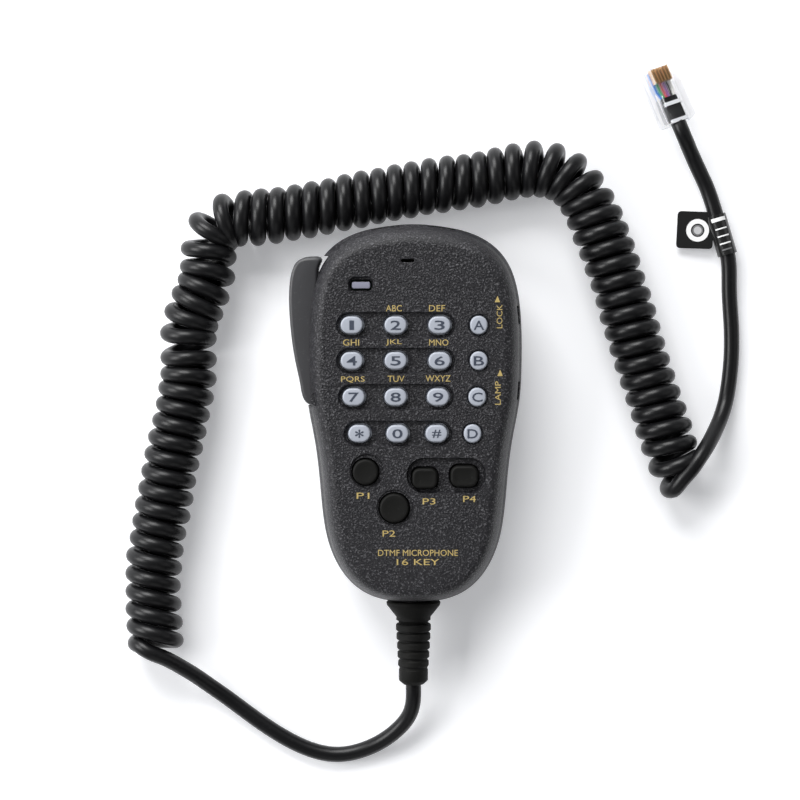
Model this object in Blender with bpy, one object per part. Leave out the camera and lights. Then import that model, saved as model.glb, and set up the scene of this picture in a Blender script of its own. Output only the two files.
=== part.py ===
"""Hand microphone for a mobile radio: keypad, push-to-talk bar, coiled cord and modular plug.

Lengths are in millimetres until a mesh is made, and MM turns them into metres. The microphone is drawn in
its own straight frame: x across the keypad, y from the cord's end to the head, z out of the keypad, with z = 0
on the flat back. The empty MIC holds that frame and leans it back on the hanger knob and the heel, as the
microphone lies on a table. The table is world z = 0. The plug has a frame of its own, the empty PLUG.
"""

import math

import bmesh
import bpy
import numpy as np
from mathutils import Matrix, Vector

for scene_object in list(bpy.data.objects):
    bpy.data.objects.remove(scene_object)

# ---------------------------------------------------------------- driving dimensions (mm)

MM = 0.001
GAP = 0.3

# Half of the case's outline at the parting plane, from the crown to the foot.
HALF_OUTLINE = [
    (0, 53.6), (10, 52.7), (18.3, 50.2), (23.6, 46.6), (27, 42), (29.2, 35.5), (30.4, 25), (30.5, 14),
    (29.9, 3.5), (28.2, -6), (26.8, -16), (25.7, -28), (23.9, -37.5), (20.4, -45), (14.9, -50.6),
    (8.2, -53.3), (0, -54),
]
FOOT_Y = HALF_OUTLINE[-1][1]
OUTLINE_STEPS = 2
FACE_Z = 27.0
PARTING_Z = 14.0
WALL = 2.0
BACK_INSET = 4.2

KEY_ROWS = [
    (25.9, (-17.4, -5.1, 7.2, 18.2)),
    (15.9, (-17.4, -5.1, 7.2, 18.2)),
    (5.7, (-16.9, -5.1, 6.8, 17.8)),
    (-4.6, (-15.3, -4.6, 6.4, 16.5)),
]
KEY_NAMES = ["123a", "456b", "789c", "*0#d"]
WORDS = {"*": "star", "#": "hash"}
KEY_SIZE = (6.2, 4.8)
LETTER_KEY_SIZE = (4.9, 5.2)
KEY_GAP = 0.45
KEY_PROUD = 0.9
KEY_TRAVEL = 0.8
ROW_RECESS = (6.7, 0.45)

PROGRAM_BUTTONS = {
    "p1_button": (-13.6, -15.5, 7.2, 7.2, 3.6),
    "p2_button": (-5.5, -25.7, 8.2, 8.2, 4.1),
    "p3_button": (3.1, -17.3, 7.0, 5.6, 2.0),
    "p4_button": (14.2, -16.7, 7.6, 5.9, 2.2),
}
PROGRAM_RECESS = (9.2, -16.5, 21.8, 9.4, 4.4, 0.45)
PROGRAM_PROUD = 1.0
PROGRAM_TRAVEL = 1.0
FLANGE_TOP = FACE_Z - WALL - GAP
FLANGE_THICK = 0.8
FLANGE_GROW = 0.9

LENS_CENTRE = (-14.8, 37.0)
LENS_SIZE = (5.0, 2.2)
LENS_RECESS = (6.9, 4.6, 1.6, 1.2)
SOUND_SLOT = (-1.7, 43.9, 3.9, 1.1)

MAT_Z = (21.6, 22.6)
BOARD_Z = (19.7, 21.3)

PTT_Z = (7.0, 21.0)
PTT_PIVOT = (-27.0, 5.0)
PTT_PIN_RADIUS = 0.8
PTT_TIP_Y = 44.9
PTT_SPRING_Y = 30.0
PTT_SPRING_Z = 11.0
PTT_SWITCH = (15.0, 17.4)

SLIDER_YS = {"lock": 28.3, "lamp": 6.8}
SLIDER_Z = 17.6
SLIDER_TRAVEL = 2.0
SLIDER_HALF = 1.3

HEAD_BUTTONS = {"up_button": 8.0, "down_button": -8.0}
HEAD_BUTTON_SIZE = (7.0, 3.6)

CASE_SCREWS = [(21, 40), (-21, 40), (17, -40), (-17, -40)]
BOARD_SCREWS = [(0, 33), (8, -36)]
CLAMP_SCREW = (5.6, -44.5)

KNOB_Y = 24.0
KNOB_RADIUS = 6.0
KNOB_HEIGHT = 5.0
KNOB_EDGE = 0.5

BOOT_Z = 12.0
BOOT_END = -78.5
CORD_RADIUS = 2.25
CORD_GAP = 0.5
COIL_RADIUS = 8.0

PLUG_SIZE = (9.65, 18.0, 6.6)
PLUG_REAR = (79.2, 84.4)
PLUG_HEADING = math.radians(22.2)
PLUG_PITCH = math.radians(-7)
PLUG_ROLL = math.radians(16)
PLUG_CORD_Z = 3.5

TAG_CENTRE = (92.25, 52.0, 3.1)
TAG_DIRECTION = Vector((-0.285, 0.958, 0)).normalized()
TAG_LENGTH = 12.0
TAG_RADIUS = 3.0
FLAG_SIZE = (10.5, 10.8)
FLAG_MIDDLE = (-7.0, 3.6)
FLAG_TURN = math.radians(-19)
FLAG_THICKNESS = 0.6

# ---------------------------------------------------------------- frames

heel_y = FOOT_Y + BACK_INSET
lean = math.atan2(KNOB_HEIGHT, KNOB_Y - KNOB_RADIUS + KNOB_EDGE - heel_y)
# The bar stands out on the left only, and the head leans over the back's edge by the parting plane's height.
PTT_PROUD = 4.6
mic_place = Vector((PTT_PROUD / 2, PARTING_Z * math.sin(lean), -heel_y * math.sin(lean)))


def frame(name, matrix):
    """An empty that holds a frame. Its matrix has its place in millimetres."""
    empty = bpy.data.objects.new(name, None)
    bpy.context.scene.collection.objects.link(empty)
    matrix = matrix.copy()
    matrix.translation *= MM
    empty.matrix_world = matrix
    return empty


MIC = frame("MIC", Matrix.Translation(mic_place) @ Matrix.Rotation(lean, 4, "X"))

plug_turn = (
    Matrix.Rotation(PLUG_HEADING, 4, "Z") @ Matrix.Rotation(PLUG_PITCH, 4, "X") @ Matrix.Rotation(PLUG_ROLL, 4, "Y")
)
plug_corners = [
    plug_turn @ Vector((x * PLUG_SIZE[0] / 2, y * PLUG_SIZE[1], z * PLUG_SIZE[2]))
    for x in (-1, 1)
    for y in (0, 1)
    for z in (0, 1)
]
cord_entry = plug_turn @ Vector((0, 0, PLUG_CORD_Z))
plug_lift = -min(corner.z for corner in plug_corners)
plug_place = Vector((PLUG_REAR[0] - cord_entry.x, PLUG_REAR[1] - cord_entry.y, plug_lift))
PLUG = frame("PLUG", Matrix.Translation(plug_place) @ plug_turn)

# ---------------------------------------------------------------- materials


def principled(name, colour, roughness, metallic=0.0, alpha=1.0):
    material = bpy.data.materials.new(name)
    material.use_nodes = True
    shader = material.node_tree.nodes["Principled BSDF"]
    shader.inputs["Base Color"].default_value = (*colour, 1)
    shader.inputs["Roughness"].default_value = roughness
    shader.inputs["Metallic"].default_value = metallic
    shader.inputs["Alpha"].default_value = alpha
    return material


CASE_PLASTIC = principled("case_plastic", (0.03, 0.03, 0.034), 0.55)
KEY_RUBBER = principled("key_rubber", (0.53, 0.58, 0.68), 0.45)
BLACK_RUBBER = principled("black_rubber", (0.013, 0.013, 0.012), 0.5)
BAR_PLASTIC = principled("bar_plastic", (0.025, 0.025, 0.028), 0.4)
SWITCH_PLASTIC = principled("switch_plastic", (0.04, 0.04, 0.042), 0.5)
LENS_PLASTIC = principled("lens_plastic", (0.62, 0.63, 0.75), 0.3)
BOARD_RESIN = principled("board_resin", (0.02, 0.16, 0.06), 0.45)
MAT_SILICONE = principled("mat_silicone", (0.3, 0.32, 0.36), 0.6)
STEEL = principled("steel", (0.55, 0.55, 0.56), 0.3, 1.0)
CORD_RUBBER = principled("cord_rubber", (0.016, 0.016, 0.017), 0.4)
CLEAR_PLASTIC = principled("clear_plastic", (0.85, 0.87, 0.88), 0.1, 0.0, 0.4)
TAG_FILM = principled("tag_film", (0.02, 0.02, 0.02), 0.25)
WHITE_PLASTIC = principled("white_plastic", (0.7, 0.7, 0.67), 0.5)

# ---------------------------------------------------------------- ways of making a body


def add_body(name, mesh_data, material, at=(0, 0, 0), parent=MIC):
    """Makes an object of a bmesh drawn in millimetres. Its origin is put at `at`, in its parent's frame."""
    bmesh.ops.translate(mesh_data, vec=-Vector(at), verts=mesh_data.verts)
    bmesh.ops.scale(mesh_data, vec=(MM, MM, MM), verts=mesh_data.verts)
    bmesh.ops.recalc_face_normals(mesh_data, faces=mesh_data.faces)
    mesh = bpy.data.meshes.new(name)
    mesh_data.to_mesh(mesh)
    mesh_data.free()
    mesh.shade_smooth()
    mesh.set_sharp_from_angle(angle=math.radians(35))
    body = bpy.data.objects.new(name, mesh)
    bpy.context.scene.collection.objects.link(body)
    body.parent = parent
    body.location = Vector(at) * MM
    if material is None:
        body.hide_render = True
        body.display_type = "WIRE"
    else:
        mesh.materials.append(material)
    return body


def loft(rings, mesh_data=None):
    """Closes a body from rings of equally many points: walls between them, and a cap on the first and the last."""
    mesh_data = mesh_data or bmesh.new()
    rows = [[mesh_data.verts.new(point) for point in ring] for ring in rings]
    for low, high in zip(rows, rows[1:]):
        for i in range(len(low)):
            j = (i + 1) % len(low)
            mesh_data.faces.new((low[i], low[j], high[j], high[i]))
    mesh_data.faces.new(rows[0][::-1])
    mesh_data.faces.new(rows[-1])
    return mesh_data


def boolean(body, other, operation="DIFFERENCE"):
    modifier = body.modifiers.new(other.name, "BOOLEAN")
    modifier.operation = operation
    modifier.solver = "EXACT"
    modifier.object = other


def cutter(name, shapes, parent=MIC):
    """One hidden helper of several prisms or lofts that don't touch each other."""
    mesh_data = bmesh.new()
    for rings in shapes:
        loft(rings, mesh_data)
    return add_body(name, mesh_data, None, parent=parent)


def rounded_box(x, y, width, height, radius, steps=3):
    """The points of a rectangle with round corners, anticlockwise. A radius of half its height makes a pill."""
    points = []
    for corner, (sx, sy) in enumerate([(1, 1), (-1, 1), (-1, -1), (1, -1)]):
        for step in range(steps + 1):
            angle = (corner + step / steps) * math.pi / 2
            points.append((
                x + sx * (width / 2 - radius) + radius * math.cos(angle),
                y + sy * (height / 2 - radius) + radius * math.sin(angle),
            ))
    return [p for i, p in enumerate(points) if math.dist(p, points[i - 1]) > 0.01]


def level(points, z):
    return [(x, y, z) for x, y in points]


def prism(points, low, high):
    return [level(points, low), level(points, high)]


def circle(x, y, radius, sides=12):
    turns = [2 * math.pi * i / sides for i in range(sides)]
    return [(x + radius * math.cos(a), y + radius * math.sin(a)) for a in turns]


def turned(x, y, profile, sides=12):
    """Rings for a body turned about the line through (x, y) along z. The profile is (radius, z) points."""
    return [level(circle(x, y, radius, sides), z) for radius, z in profile]


def block(low, high):
    return prism([(low[0], low[1]), (high[0], low[1]), (high[0], high[1]), (low[0], high[1])], low[2], high[2])


def swapped(rings, order):
    """The same rings with their axes in another order, such as "yzx" for a body that stands along x."""
    places = ["xyz".index(letter) for letter in order]
    return [[tuple(point[i] for i in places) for point in ring] for ring in rings]


def smooth_line(points, closed):
    """A cubic spline through the points, as a function that gives the place at a knot number from 0 up."""
    knots = np.array([*points, points[0]] if closed else points, float)
    lengths = np.linalg.norm(np.diff(knots, axis=0), axis=1)
    last = len(knots) - 1
    matrix = np.zeros((last + 1, last + 1))
    goal = np.zeros_like(knots)
    slopes = np.diff(knots, axis=0) / lengths[:, None]
    for i in range(1, last):
        matrix[i, i - 1 : i + 2] = lengths[i], 2 * (lengths[i - 1] + lengths[i]), lengths[i - 1]
        goal[i] = 3 * (lengths[i] * slopes[i - 1] + lengths[i - 1] * slopes[i])
    if closed:
        matrix[0, [0, last]] = 1, -1
        matrix[last, [last - 1, last, 0, 1]] = lengths[0], 2 * lengths[0], 2 * lengths[-1], lengths[-1]
        goal[last] = 3 * (lengths[0] * slopes[-1] + lengths[-1] * slopes[0])
    else:
        matrix[0, :2] = 2, 1
        goal[0] = 3 * slopes[0]
        matrix[last, last - 1 :] = 1, 2
        goal[last] = 3 * slopes[-1]
    tangents = np.linalg.solve(matrix, goal)

    def place(number):
        i = min(int(number), last - 1)
        t = number - i
        step = lengths[i]
        return (
            (2 * t**3 - 3 * t**2 + 1) * knots[i] + (t**3 - 2 * t**2 + t) * step * tangents[i]
            + (3 * t**2 - 2 * t**3) * knots[i + 1] + (t**3 - t**2) * step * tangents[i + 1]
        )

    return place


def case_outline():
    """Points around the case at the parting plane, with the direction out of the case at each."""
    left = [(-x, y) for x, y in HALF_OUTLINE[1:-1]]
    around = left + HALF_OUTLINE[::-1][:1] + HALF_OUTLINE[1:-1][::-1] + HALF_OUTLINE[:1]
    place = smooth_line(around, closed=True)
    numbers = np.arange(len(around) * OUTLINE_STEPS) / OUTLINE_STEPS
    points = np.array([place(number) for number in numbers])
    ahead = np.roll(points, -1, axis=0) - np.roll(points, 1, axis=0)
    ahead /= np.linalg.norm(ahead, axis=1)[:, None]
    return points, np.column_stack([ahead[:, 1], -ahead[:, 0]])


OUTLINE, OUTWARDS = case_outline()


def inset_outline(inset):
    return [tuple(point) for point in OUTLINE - OUTWARDS * inset]


def shell_rings(outer, inner):
    """Rings that run down the inside of a shell, round its rim and up its outside. Each is (inset, z)."""
    return [level(inset_outline(inset), z) for inset, z in inner + outer]


# ---------------------------------------------------------------- key, button and case bodies


def key_shape(x, y, size, grow=0.0, radius=None):
    width, height = size[0] + 2 * grow, size[1] + 2 * grow
    radius = min(width, height) / 2 if radius is None else radius + grow
    return rounded_box(x, y, width, height, radius - 0.01)


def push_button(name, x, y, size, proud, material, radius=None):
    """A button with a crowned top, and a flange that keeps it in its hole."""
    top = FACE_Z + proud
    sections = [
        (FLANGE_GROW, FLANGE_TOP - FLANGE_THICK),
        (FLANGE_GROW, FLANGE_TOP),
        (0.0, FLANGE_TOP),
        (0.0, top - 0.5),
        (-0.6, top),
    ]
    rings = [level(key_shape(x, y, size, grow, radius), z) for grow, z in sections]
    return add_body(name, loft(rings), material, at=(x, y, FLANGE_TOP))


key_holes = []
for (row_y, key_xs), names in zip(KEY_ROWS, KEY_NAMES):
    for key_x, sign in zip(key_xs, names):
        size = LETTER_KEY_SIZE if sign in "abcd" else KEY_SIZE
        push_button(f"key_{WORDS.get(sign, sign)}", key_x, row_y, size, KEY_PROUD, KEY_RUBBER)
        key_holes.append(prism(key_shape(key_x, row_y, size, KEY_GAP), FACE_Z - WALL - 2, FACE_Z + 2))

for name, (x, y, width, height, radius) in PROGRAM_BUTTONS.items():
    push_button(name, x, y, (width, height), PROGRAM_PROUD, BLACK_RUBBER, radius)
    hole = key_shape(x, y, (width, height), KEY_GAP, radius)
    key_holes.append(prism(hole, FACE_Z - WALL - 2, FACE_Z + 2))

front_outer = [(0, PARTING_Z), (0.9, 20.5), (1.6, 23.2), (2.8, 25.7), (4.4, FACE_Z)]
front_inner = [(5.8, 25), (3.8, 23.2), (2.9, 20.5), (WALL, PARTING_Z)]
rear_outer = [(-0.1, PARTING_Z - GAP), (0.4, 7.5), (1.7, 2.8), (BACK_INSET, 0)]
rear_inner = [(5.8, 2), (3.8, 3.6), (2.5, 7.5), (WALL, PARTING_Z - GAP)]

front_case = add_body("front_case", loft(shell_rings(front_outer, front_inner)), CASE_PLASTIC)
rear_case = add_body("rear_case", loft(shell_rings(rear_outer, rear_inner)), CASE_PLASTIC)

front_posts = [turned(x, y, [(3.4, PARTING_Z), (3.4, 25.5)]) for x, y in CASE_SCREWS]
front_posts += [turned(x, y, [(2.4, BOARD_Z[1] + GAP), (2.4, 25.5)]) for x, y in BOARD_SCREWS]
front_posts.append(turned(*PTT_PIVOT, [(2.2, PTT_Z[1] + 0.7), (2.2, 25.0)]))
boolean(front_case, cutter("front_posts", front_posts), "UNION")

rear_posts = [turned(x, y, [(3.9, 1.0), (3.9, 13.4)]) for x, y in CASE_SCREWS]
rear_posts.append(turned(0, KNOB_Y, [(4.2, 1.0), (4.2, 9.0)]))
rear_posts.append(turned(*PTT_PIVOT, [(2.2, 3.0), (2.2, PTT_Z[0] - 0.7)]))
rear_posts.append(block((-22.7, 26, 1), (-21.2, 34, 13.2)))
rear_posts += [block((side * 5.6 - 1.8, -46.5, 1), (side * 5.6 + 1.8, -42.5, 14.3)) for side in (-1, 1)]
boolean(rear_case, cutter("rear_posts", rear_posts), "UNION")

row_recesses = []
for row_y, key_xs in KEY_ROWS:
    left, right = key_xs[0] - 4.1, key_xs[2] + 4.1
    middle = (left + right) / 2
    pill = rounded_box(middle, row_y, right - left, ROW_RECESS[0], ROW_RECESS[0] / 2 - 0.01)
    row_recesses.append(prism(pill, FACE_Z - ROW_RECESS[1], FACE_Z + 1))
program_pill = rounded_box(*PROGRAM_RECESS[:5])
row_recesses.append(prism(program_pill, FACE_Z - PROGRAM_RECESS[5], FACE_Z + 1))
lens_dish = rounded_box(*LENS_CENTRE, *LENS_RECESS[:3])
row_recesses.append(prism(lens_dish, FACE_Z - LENS_RECESS[3], FACE_Z + 1))
boolean(front_case, cutter("face_recesses", row_recesses))

lens_hole = rounded_box(*LENS_CENTRE, LENS_SIZE[0] + 2 * GAP, LENS_SIZE[1] + 2 * GAP, 0.8)
face_holes = key_holes + [
    prism(lens_hole, FACE_Z - WALL - 2, FACE_Z + 2),
    prism(rounded_box(*SOUND_SLOT, 0.5), FACE_Z - WALL - 2, FACE_Z + 2),
]
boolean(front_case, cutter("face_holes", face_holes))

boot_hole = swapped(turned(0, BOOT_Z, [(4.2, -60), (4.2, -48)], 16), "xzy")
ptt_slot = block((-40, 2.3, PTT_Z[0] - 0.4), (-23.8, PTT_TIP_Y + 0.6, PTT_Z[1] + 0.4))
side_slots = []
for slider_y in SLIDER_YS.values():
    reach = SLIDER_TRAVEL / 2 + SLIDER_HALF + 0.35
    side_slots.append(block((24, slider_y - reach, SLIDER_Z - 1.35), (34, slider_y + reach, SLIDER_Z + 1.35)))
head_slots = []
for button_x in HEAD_BUTTONS.values():
    half = HEAD_BUTTON_SIZE[0] / 2 + KEY_GAP
    tall = HEAD_BUTTON_SIZE[1] / 2 + KEY_GAP
    head_slots.append(block((button_x - half, 46, PARTING_Z - tall), (button_x + half, 60, PARTING_Z + tall)))
wall_slots = cutter("wall_slots", [boot_hole, ptt_slot, *side_slots, *head_slots])
boolean(front_case, wall_slots)
boolean(rear_case, wall_slots)

pin_bore = turned(*PTT_PIVOT, [(PTT_PIN_RADIUS + GAP, 4.2), (PTT_PIN_RADIUS + GAP, 23.1)])
screw_bores = [turned(x, y, [(3.1, -2), (3.1, 9.0), (1.6, 9.0), (1.6, 23.0)]) for x, y in CASE_SCREWS]
board_bores = [turned(x, y, [(1.3, 15.0), (1.3, 24.2)]) for x, y in BOARD_SCREWS]
knob_bore = turned(0, KNOB_Y, [(1.9, -2), (1.9, 8.5)])
clamp_bore = turned(*CLAMP_SCREW, [(1.1, 8.0), (1.1, 16.0)])
boolean(front_case, cutter("front_bores", [pin_bore, *screw_bores, *board_bores]))
boolean(rear_case, cutter("rear_bores", [pin_bore, *screw_bores, knob_bore, clamp_bore]))

# ---------------------------------------------------------------- push-to-talk bar

ptt_outline = [
    (-26.4, 2.8), (-28.4, 2.7), (-30.4, 3.6), (-32.1, 8.3), (-33.5, 15.1), (-34.6, 22.2), (-35.2, 29.9),
    (-35.1, 37), (-34.2, 41.6), (-32.2, 44.3), (-29.8, PTT_TIP_Y), (-27.8, 44.3), (-27.2, 41), (-27.2, 12),
    (-25.3, 8), (-24.9, 4.6),
]


def shrunk(points, inset):
    """A closed outline, listed clockwise, moved in along the direction that halves each corner."""
    line = np.array(points)
    ahead = np.roll(line, -1, axis=0) - line
    ahead /= np.linalg.norm(ahead, axis=1)[:, None]
    out = np.column_stack([-ahead[:, 1], ahead[:, 0]])
    out = out + np.roll(out, 1, axis=0)
    out /= np.linalg.norm(out, axis=1)[:, None]
    return [tuple(p) for p in line - out * inset]


ptt_sections = [(1.2, 0), (0.4, 0.5), (0, 1.4), (0, -1.4), (0.4, -0.5), (1.2, 0)]
ptt_levels = [PTT_Z[0] + z for _, z in ptt_sections[:3]] + [PTT_Z[1] + z for _, z in ptt_sections[3:]]
ptt_rings = [level(shrunk(ptt_outline, inset), z) for (inset, _), z in zip(ptt_sections, ptt_levels)]
ptt_lever = add_body("ptt_lever", loft(ptt_rings), BAR_PLASTIC, at=(*PTT_PIVOT, PARTING_Z))
lever_bore = cutter("lever_bore", [turned(*PTT_PIVOT, [(PTT_PIN_RADIUS + GAP, 0), (PTT_PIN_RADIUS + GAP, 27)])])
boolean(ptt_lever, lever_bore)

pin_rings = turned(*PTT_PIVOT, [(PTT_PIN_RADIUS, 4.5), (PTT_PIN_RADIUS, 22.8)])
add_body("ptt_pivot_pin", loft(pin_rings), STEEL, at=(*PTT_PIVOT, PARTING_Z))


def wire_spring(name, low_x, high_x, y, z, radius, wire, turns):
    """A coil spring that stands along x, as a round wire along a helix."""
    curve = bpy.data.curves.new(name, "CURVE")
    curve.dimensions = "3D"
    curve.bevel_depth = wire * MM
    curve.bevel_resolution = 1
    curve.use_fill_caps = True
    steps = turns * 8
    spline = curve.splines.new("POLY")
    spline.points.add(steps)
    for i, point in enumerate(spline.points):
        angle = 2 * math.pi * i / 8
        along = low_x + wire + (high_x - low_x - 2 * wire) * i / steps
        place = (along, y + radius * math.cos(angle), z + radius * math.sin(angle))
        point.co = (*(Vector(place) * MM), 1)
    curve.materials.append(STEEL)
    spring = bpy.data.objects.new(name, curve)
    bpy.context.scene.collection.objects.link(spring)
    spring.parent = MIC


wire_spring("ptt_spring", -26.9, -23.0, PTT_SPRING_Y, PTT_SPRING_Z, 1.9, 0.25, 3)

switch_y, switch_z = PTT_SWITCH
ptt_switch = add_body("ptt_switch", loft(block((-24, 12, 15.4), (-20.4, 18, 19.4))), SWITCH_PLASTIC)
plunger_bore = swapped(turned(switch_y, switch_z, [(1.3, -25), (1.3, -21.6)]), "zxy")
boolean(ptt_switch, cutter("plunger_bore", [plunger_bore]))
plunger = swapped(turned(switch_y, switch_z, [(1.0, -26.9), (1.0, -23.2)]), "zxy")
add_body("ptt_plunger", loft(plunger), WHITE_PLASTIC, at=(-24, switch_y, switch_z))

# ---------------------------------------------------------------- side sliders and head buttons

side_x = 29.2
for name, slider_y in SLIDER_YS.items():
    rest_y = slider_y - SLIDER_TRAVEL / 2
    low, high = rest_y - SLIDER_HALF, rest_y + SLIDER_HALF
    knob = loft(block((26.0, low, SLIDER_Z - 1.0), (side_x, high, SLIDER_Z + 1.0)))
    slider = add_body(f"{name}_slider", knob, SWITCH_PLASTIC, at=(side_x, rest_y, SLIDER_Z))
    flange_low, flange_high = (25.4, rest_y - 2.3, SLIDER_Z - 1.7), (26.4, rest_y + 2.3, SLIDER_Z + 1.7)
    boolean(slider, cutter(f"{name}_flange", [block(flange_low, flange_high)]), "UNION")
    housing = block((20.6, slider_y - 4.4, 15.4), (25.1, slider_y + 4.4, 19.4))
    add_body(f"{name}_switch", loft(housing), STEEL)

head_y = 52.9
for name, button_x in HEAD_BUTTONS.items():
    width, tall = HEAD_BUTTON_SIZE
    sections = [(0.9, 48.4), (0.9, 49.2), (0, 49.2), (0, head_y - 0.4), (-0.4, head_y)]
    rings = [level(rounded_box(button_x, PARTING_Z, width + 2 * g, tall + 2 * g, 0.8 + g), y) for g, y in sections]
    add_body(name, loft(swapped(rings, "xzy")), BLACK_RUBBER, at=(button_x, head_y, PARTING_Z))
add_body("head_switch_board", loft(block((-14, 45.5, 9.5), (14, 47.1, 18.6))), BOARD_RESIN)

# ---------------------------------------------------------------- inside the case


def clamped_outline(inset, low_x, low_y, high_y):
    """The case's outline moved in, and cut off straight at three sides."""
    points = []
    for x, y in inset_outline(inset):
        point = (max(x, low_x), min(max(y, low_y), high_y))
        if not points or math.dist(point, points[-1]) > 0.05:
            points.append(point)
    return points[1:] if math.dist(points[0], points[-1]) < 0.05 else points


post_notches = cutter("post_notches", [turned(x, y, [(4.0, 15), (4.0, 26)]) for x, y in CASE_SCREWS])
board_outline = clamped_outline(5.2, -23.2, -41.5, 39.0)
circuit_board = add_body("circuit_board", loft(prism(board_outline, *BOARD_Z)), BOARD_RESIN)
boolean(circuit_board, post_notches)
boolean(circuit_board, cutter("board_holes", [turned(x, y, [(1.5, 15), (1.5, 26)]) for x, y in BOARD_SCREWS]))
mat_outline = clamped_outline(5.6, -23.2, -31.5, 30.3)
add_body("keypad_mat", loft(prism(mat_outline, *MAT_Z)), MAT_SILICONE)

for number, (x, y) in enumerate(BOARD_SCREWS, 1):
    profile = [(2.2, 18.0), (2.2, 19.4), (1.0, 19.4), (1.0, 23.8)]
    add_body(f"board_screw_{number}", loft(turned(x, y, profile, 12)), STEEL, at=(x, y, 18))
for number, (x, y) in enumerate(CASE_SCREWS, 1):
    profile = [(2.7, 7.2), (2.7, 8.7), (1.25, 8.7), (1.25, 21)]
    add_body(f"case_screw_{number}", loft(turned(x, y, profile, 12)), STEEL, at=(x, y, 7.2))

slot_x, slot_y = SOUND_SLOT[:2]
add_body("mic_capsule", loft(turned(slot_x, slot_y, [(3.0, 21.8), (3.0, 24.0)])), STEEL)
gasket_rings = turned(slot_x, slot_y, [(4.2, 21.7), (4.2, 24.2)])
mic_gasket = add_body("mic_gasket", loft(gasket_rings), BLACK_RUBBER)
boolean(mic_gasket, cutter("gasket_bore", [turned(slot_x, slot_y, [(3.3, 20), (3.3, 26)])]))

lens_x, lens_y = LENS_CENTRE
led_block = block((lens_x - 2.2, lens_y - 1.0, BOARD_Z[1] + GAP), (lens_x + 2.2, lens_y + 1.0, 24.4))
add_body("status_led", loft(led_block), WHITE_PLASTIC)
lens_shape = rounded_box(lens_x, lens_y, *LENS_SIZE, 0.5)
add_body("led_lens", loft([level(lens_shape, 24.7), level(lens_shape, 26.4)]), LENS_PLASTIC)

add_body("board_socket", loft(block((-5, -33, 15.2), (5, -28.5, 19.4))), WHITE_PLASTIC)
add_body("loom_plug", loft(block((-4.4, -37.5, 15.6), (4.4, -33.3, 18.9))), WHITE_PLASTIC)


def cord_tube(name, points, radius, material, sides=8, parent=None):
    """A round tube along the points, with flat ends."""
    curve = bpy.data.curves.new(name, "CURVE")
    curve.dimensions = "3D"
    curve.bevel_depth = radius * MM
    curve.bevel_resolution = sides // 2 - 2
    curve.use_fill_caps = True
    spline = curve.splines.new("POLY")
    spline.points.add(len(points) - 1)
    for point, place in zip(spline.points, points):
        point.co = (*(Vector(place) * MM), 1)
    curve.materials.append(material)
    tube = bpy.data.objects.new(name, curve)
    bpy.context.scene.collection.objects.link(tube)
    tube.parent = parent


def along(points, spacing):
    """Evenly spaced points of the smooth line through a route's own points."""
    place = smooth_line(points, closed=False)
    fine = np.array([place(number) for number in np.linspace(0, len(points) - 1, 400)])
    travelled = np.concatenate([[0], np.cumsum(np.linalg.norm(np.diff(fine, axis=0), axis=1))])
    goals = np.linspace(0, travelled[-1], round(travelled[-1] / spacing) + 1)
    return [tuple(np.interp(goal, travelled, fine[:, axis]) for axis in range(3)) for goal in goals]


inner_route = [(0, -48.9, BOOT_Z), (0, -44, BOOT_Z), (0, -41, 13.2), (0, -38.6, 15.6)]
cord_tube("inner_lead", inner_route, CORD_RADIUS - 0.35, CORD_RUBBER, parent=MIC)

clamp = add_body("cable_clamp", loft(block((-7.6, -46.2, 14.6), (7.6, -42.8, 15.8))), STEEL)
boolean(clamp, cutter("clamp_hole", [turned(*CLAMP_SCREW, [(1.1, 14), (1.1, 17)])]))
clamp_screw_profile = [(0.8, 9.0), (0.8, 16.1), (1.6, 16.1), (1.6, 17.1)]
add_body("clamp_screw", loft(turned(*CLAMP_SCREW, clamp_screw_profile, 12)), STEEL)

# ---------------------------------------------------------------- hanger knob on the back

knob_profile = [
    (KNOB_RADIUS - KNOB_EDGE, -KNOB_HEIGHT), (KNOB_RADIUS, -KNOB_HEIGHT + KNOB_EDGE),
    (KNOB_RADIUS, -2.4), (KNOB_RADIUS - KNOB_EDGE, -1.9), (3.4, -1.9), (3.4, -GAP),
]
hanger_knob = add_body("hanger_knob", loft(turned(0, KNOB_Y, knob_profile, 24)), STEEL)
knob_screw_bore = [turned(0, KNOB_Y, [(3.2, -8), (3.2, -3.0), (1.9, -3.0), (1.9, 3)])]
boolean(hanger_knob, cutter("knob_screw_bore", knob_screw_bore))
hanger_screw_profile = [(2.9, -4.7), (2.9, -3.3), (1.6, -3.3), (1.6, 8.2)]
add_body("hanger_screw", loft(turned(0, KNOB_Y, hanger_screw_profile)), STEEL)

# ---------------------------------------------------------------- strain relief

boot_sections = [
    (6.0, 5.0, -49.4), (6.0, 5.0, -50.8), (3.8, 3.8, -50.8), (3.8, 3.8, -54.35), (7.8, 6.0, -54.35),
    (7.2, 5.8, -55.8), (5.1, 5.0, -58.6), (4.6, 4.6, -60.6), (5.0, 5.0, -62.4), (4.7, 4.7, -73.6),
    (4.2, 4.2, -74.6), (4.2, 4.2, -77.6), (3.6, 3.6, BOOT_END),
]


def oval_ring(half_width, half_height, y, sides=16):
    turns = [2 * math.pi * i / sides for i in range(sides)]
    return [(half_width * math.cos(a), y, BOOT_Z + half_height * math.sin(a)) for a in turns]


add_body("cord_boot", loft([oval_ring(*section) for section in boot_sections]), BLACK_RUBBER)

# ---------------------------------------------------------------- free cord

mic_matrix = Matrix.Translation(mic_place) @ Matrix.Rotation(lean, 4, "X")
boot_exit = mic_matrix @ Vector((0, BOOT_END - CORD_GAP, BOOT_Z))
boot_ahead = mic_matrix @ Vector((0, BOOT_END - 4, BOOT_Z - 0.1))

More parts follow.
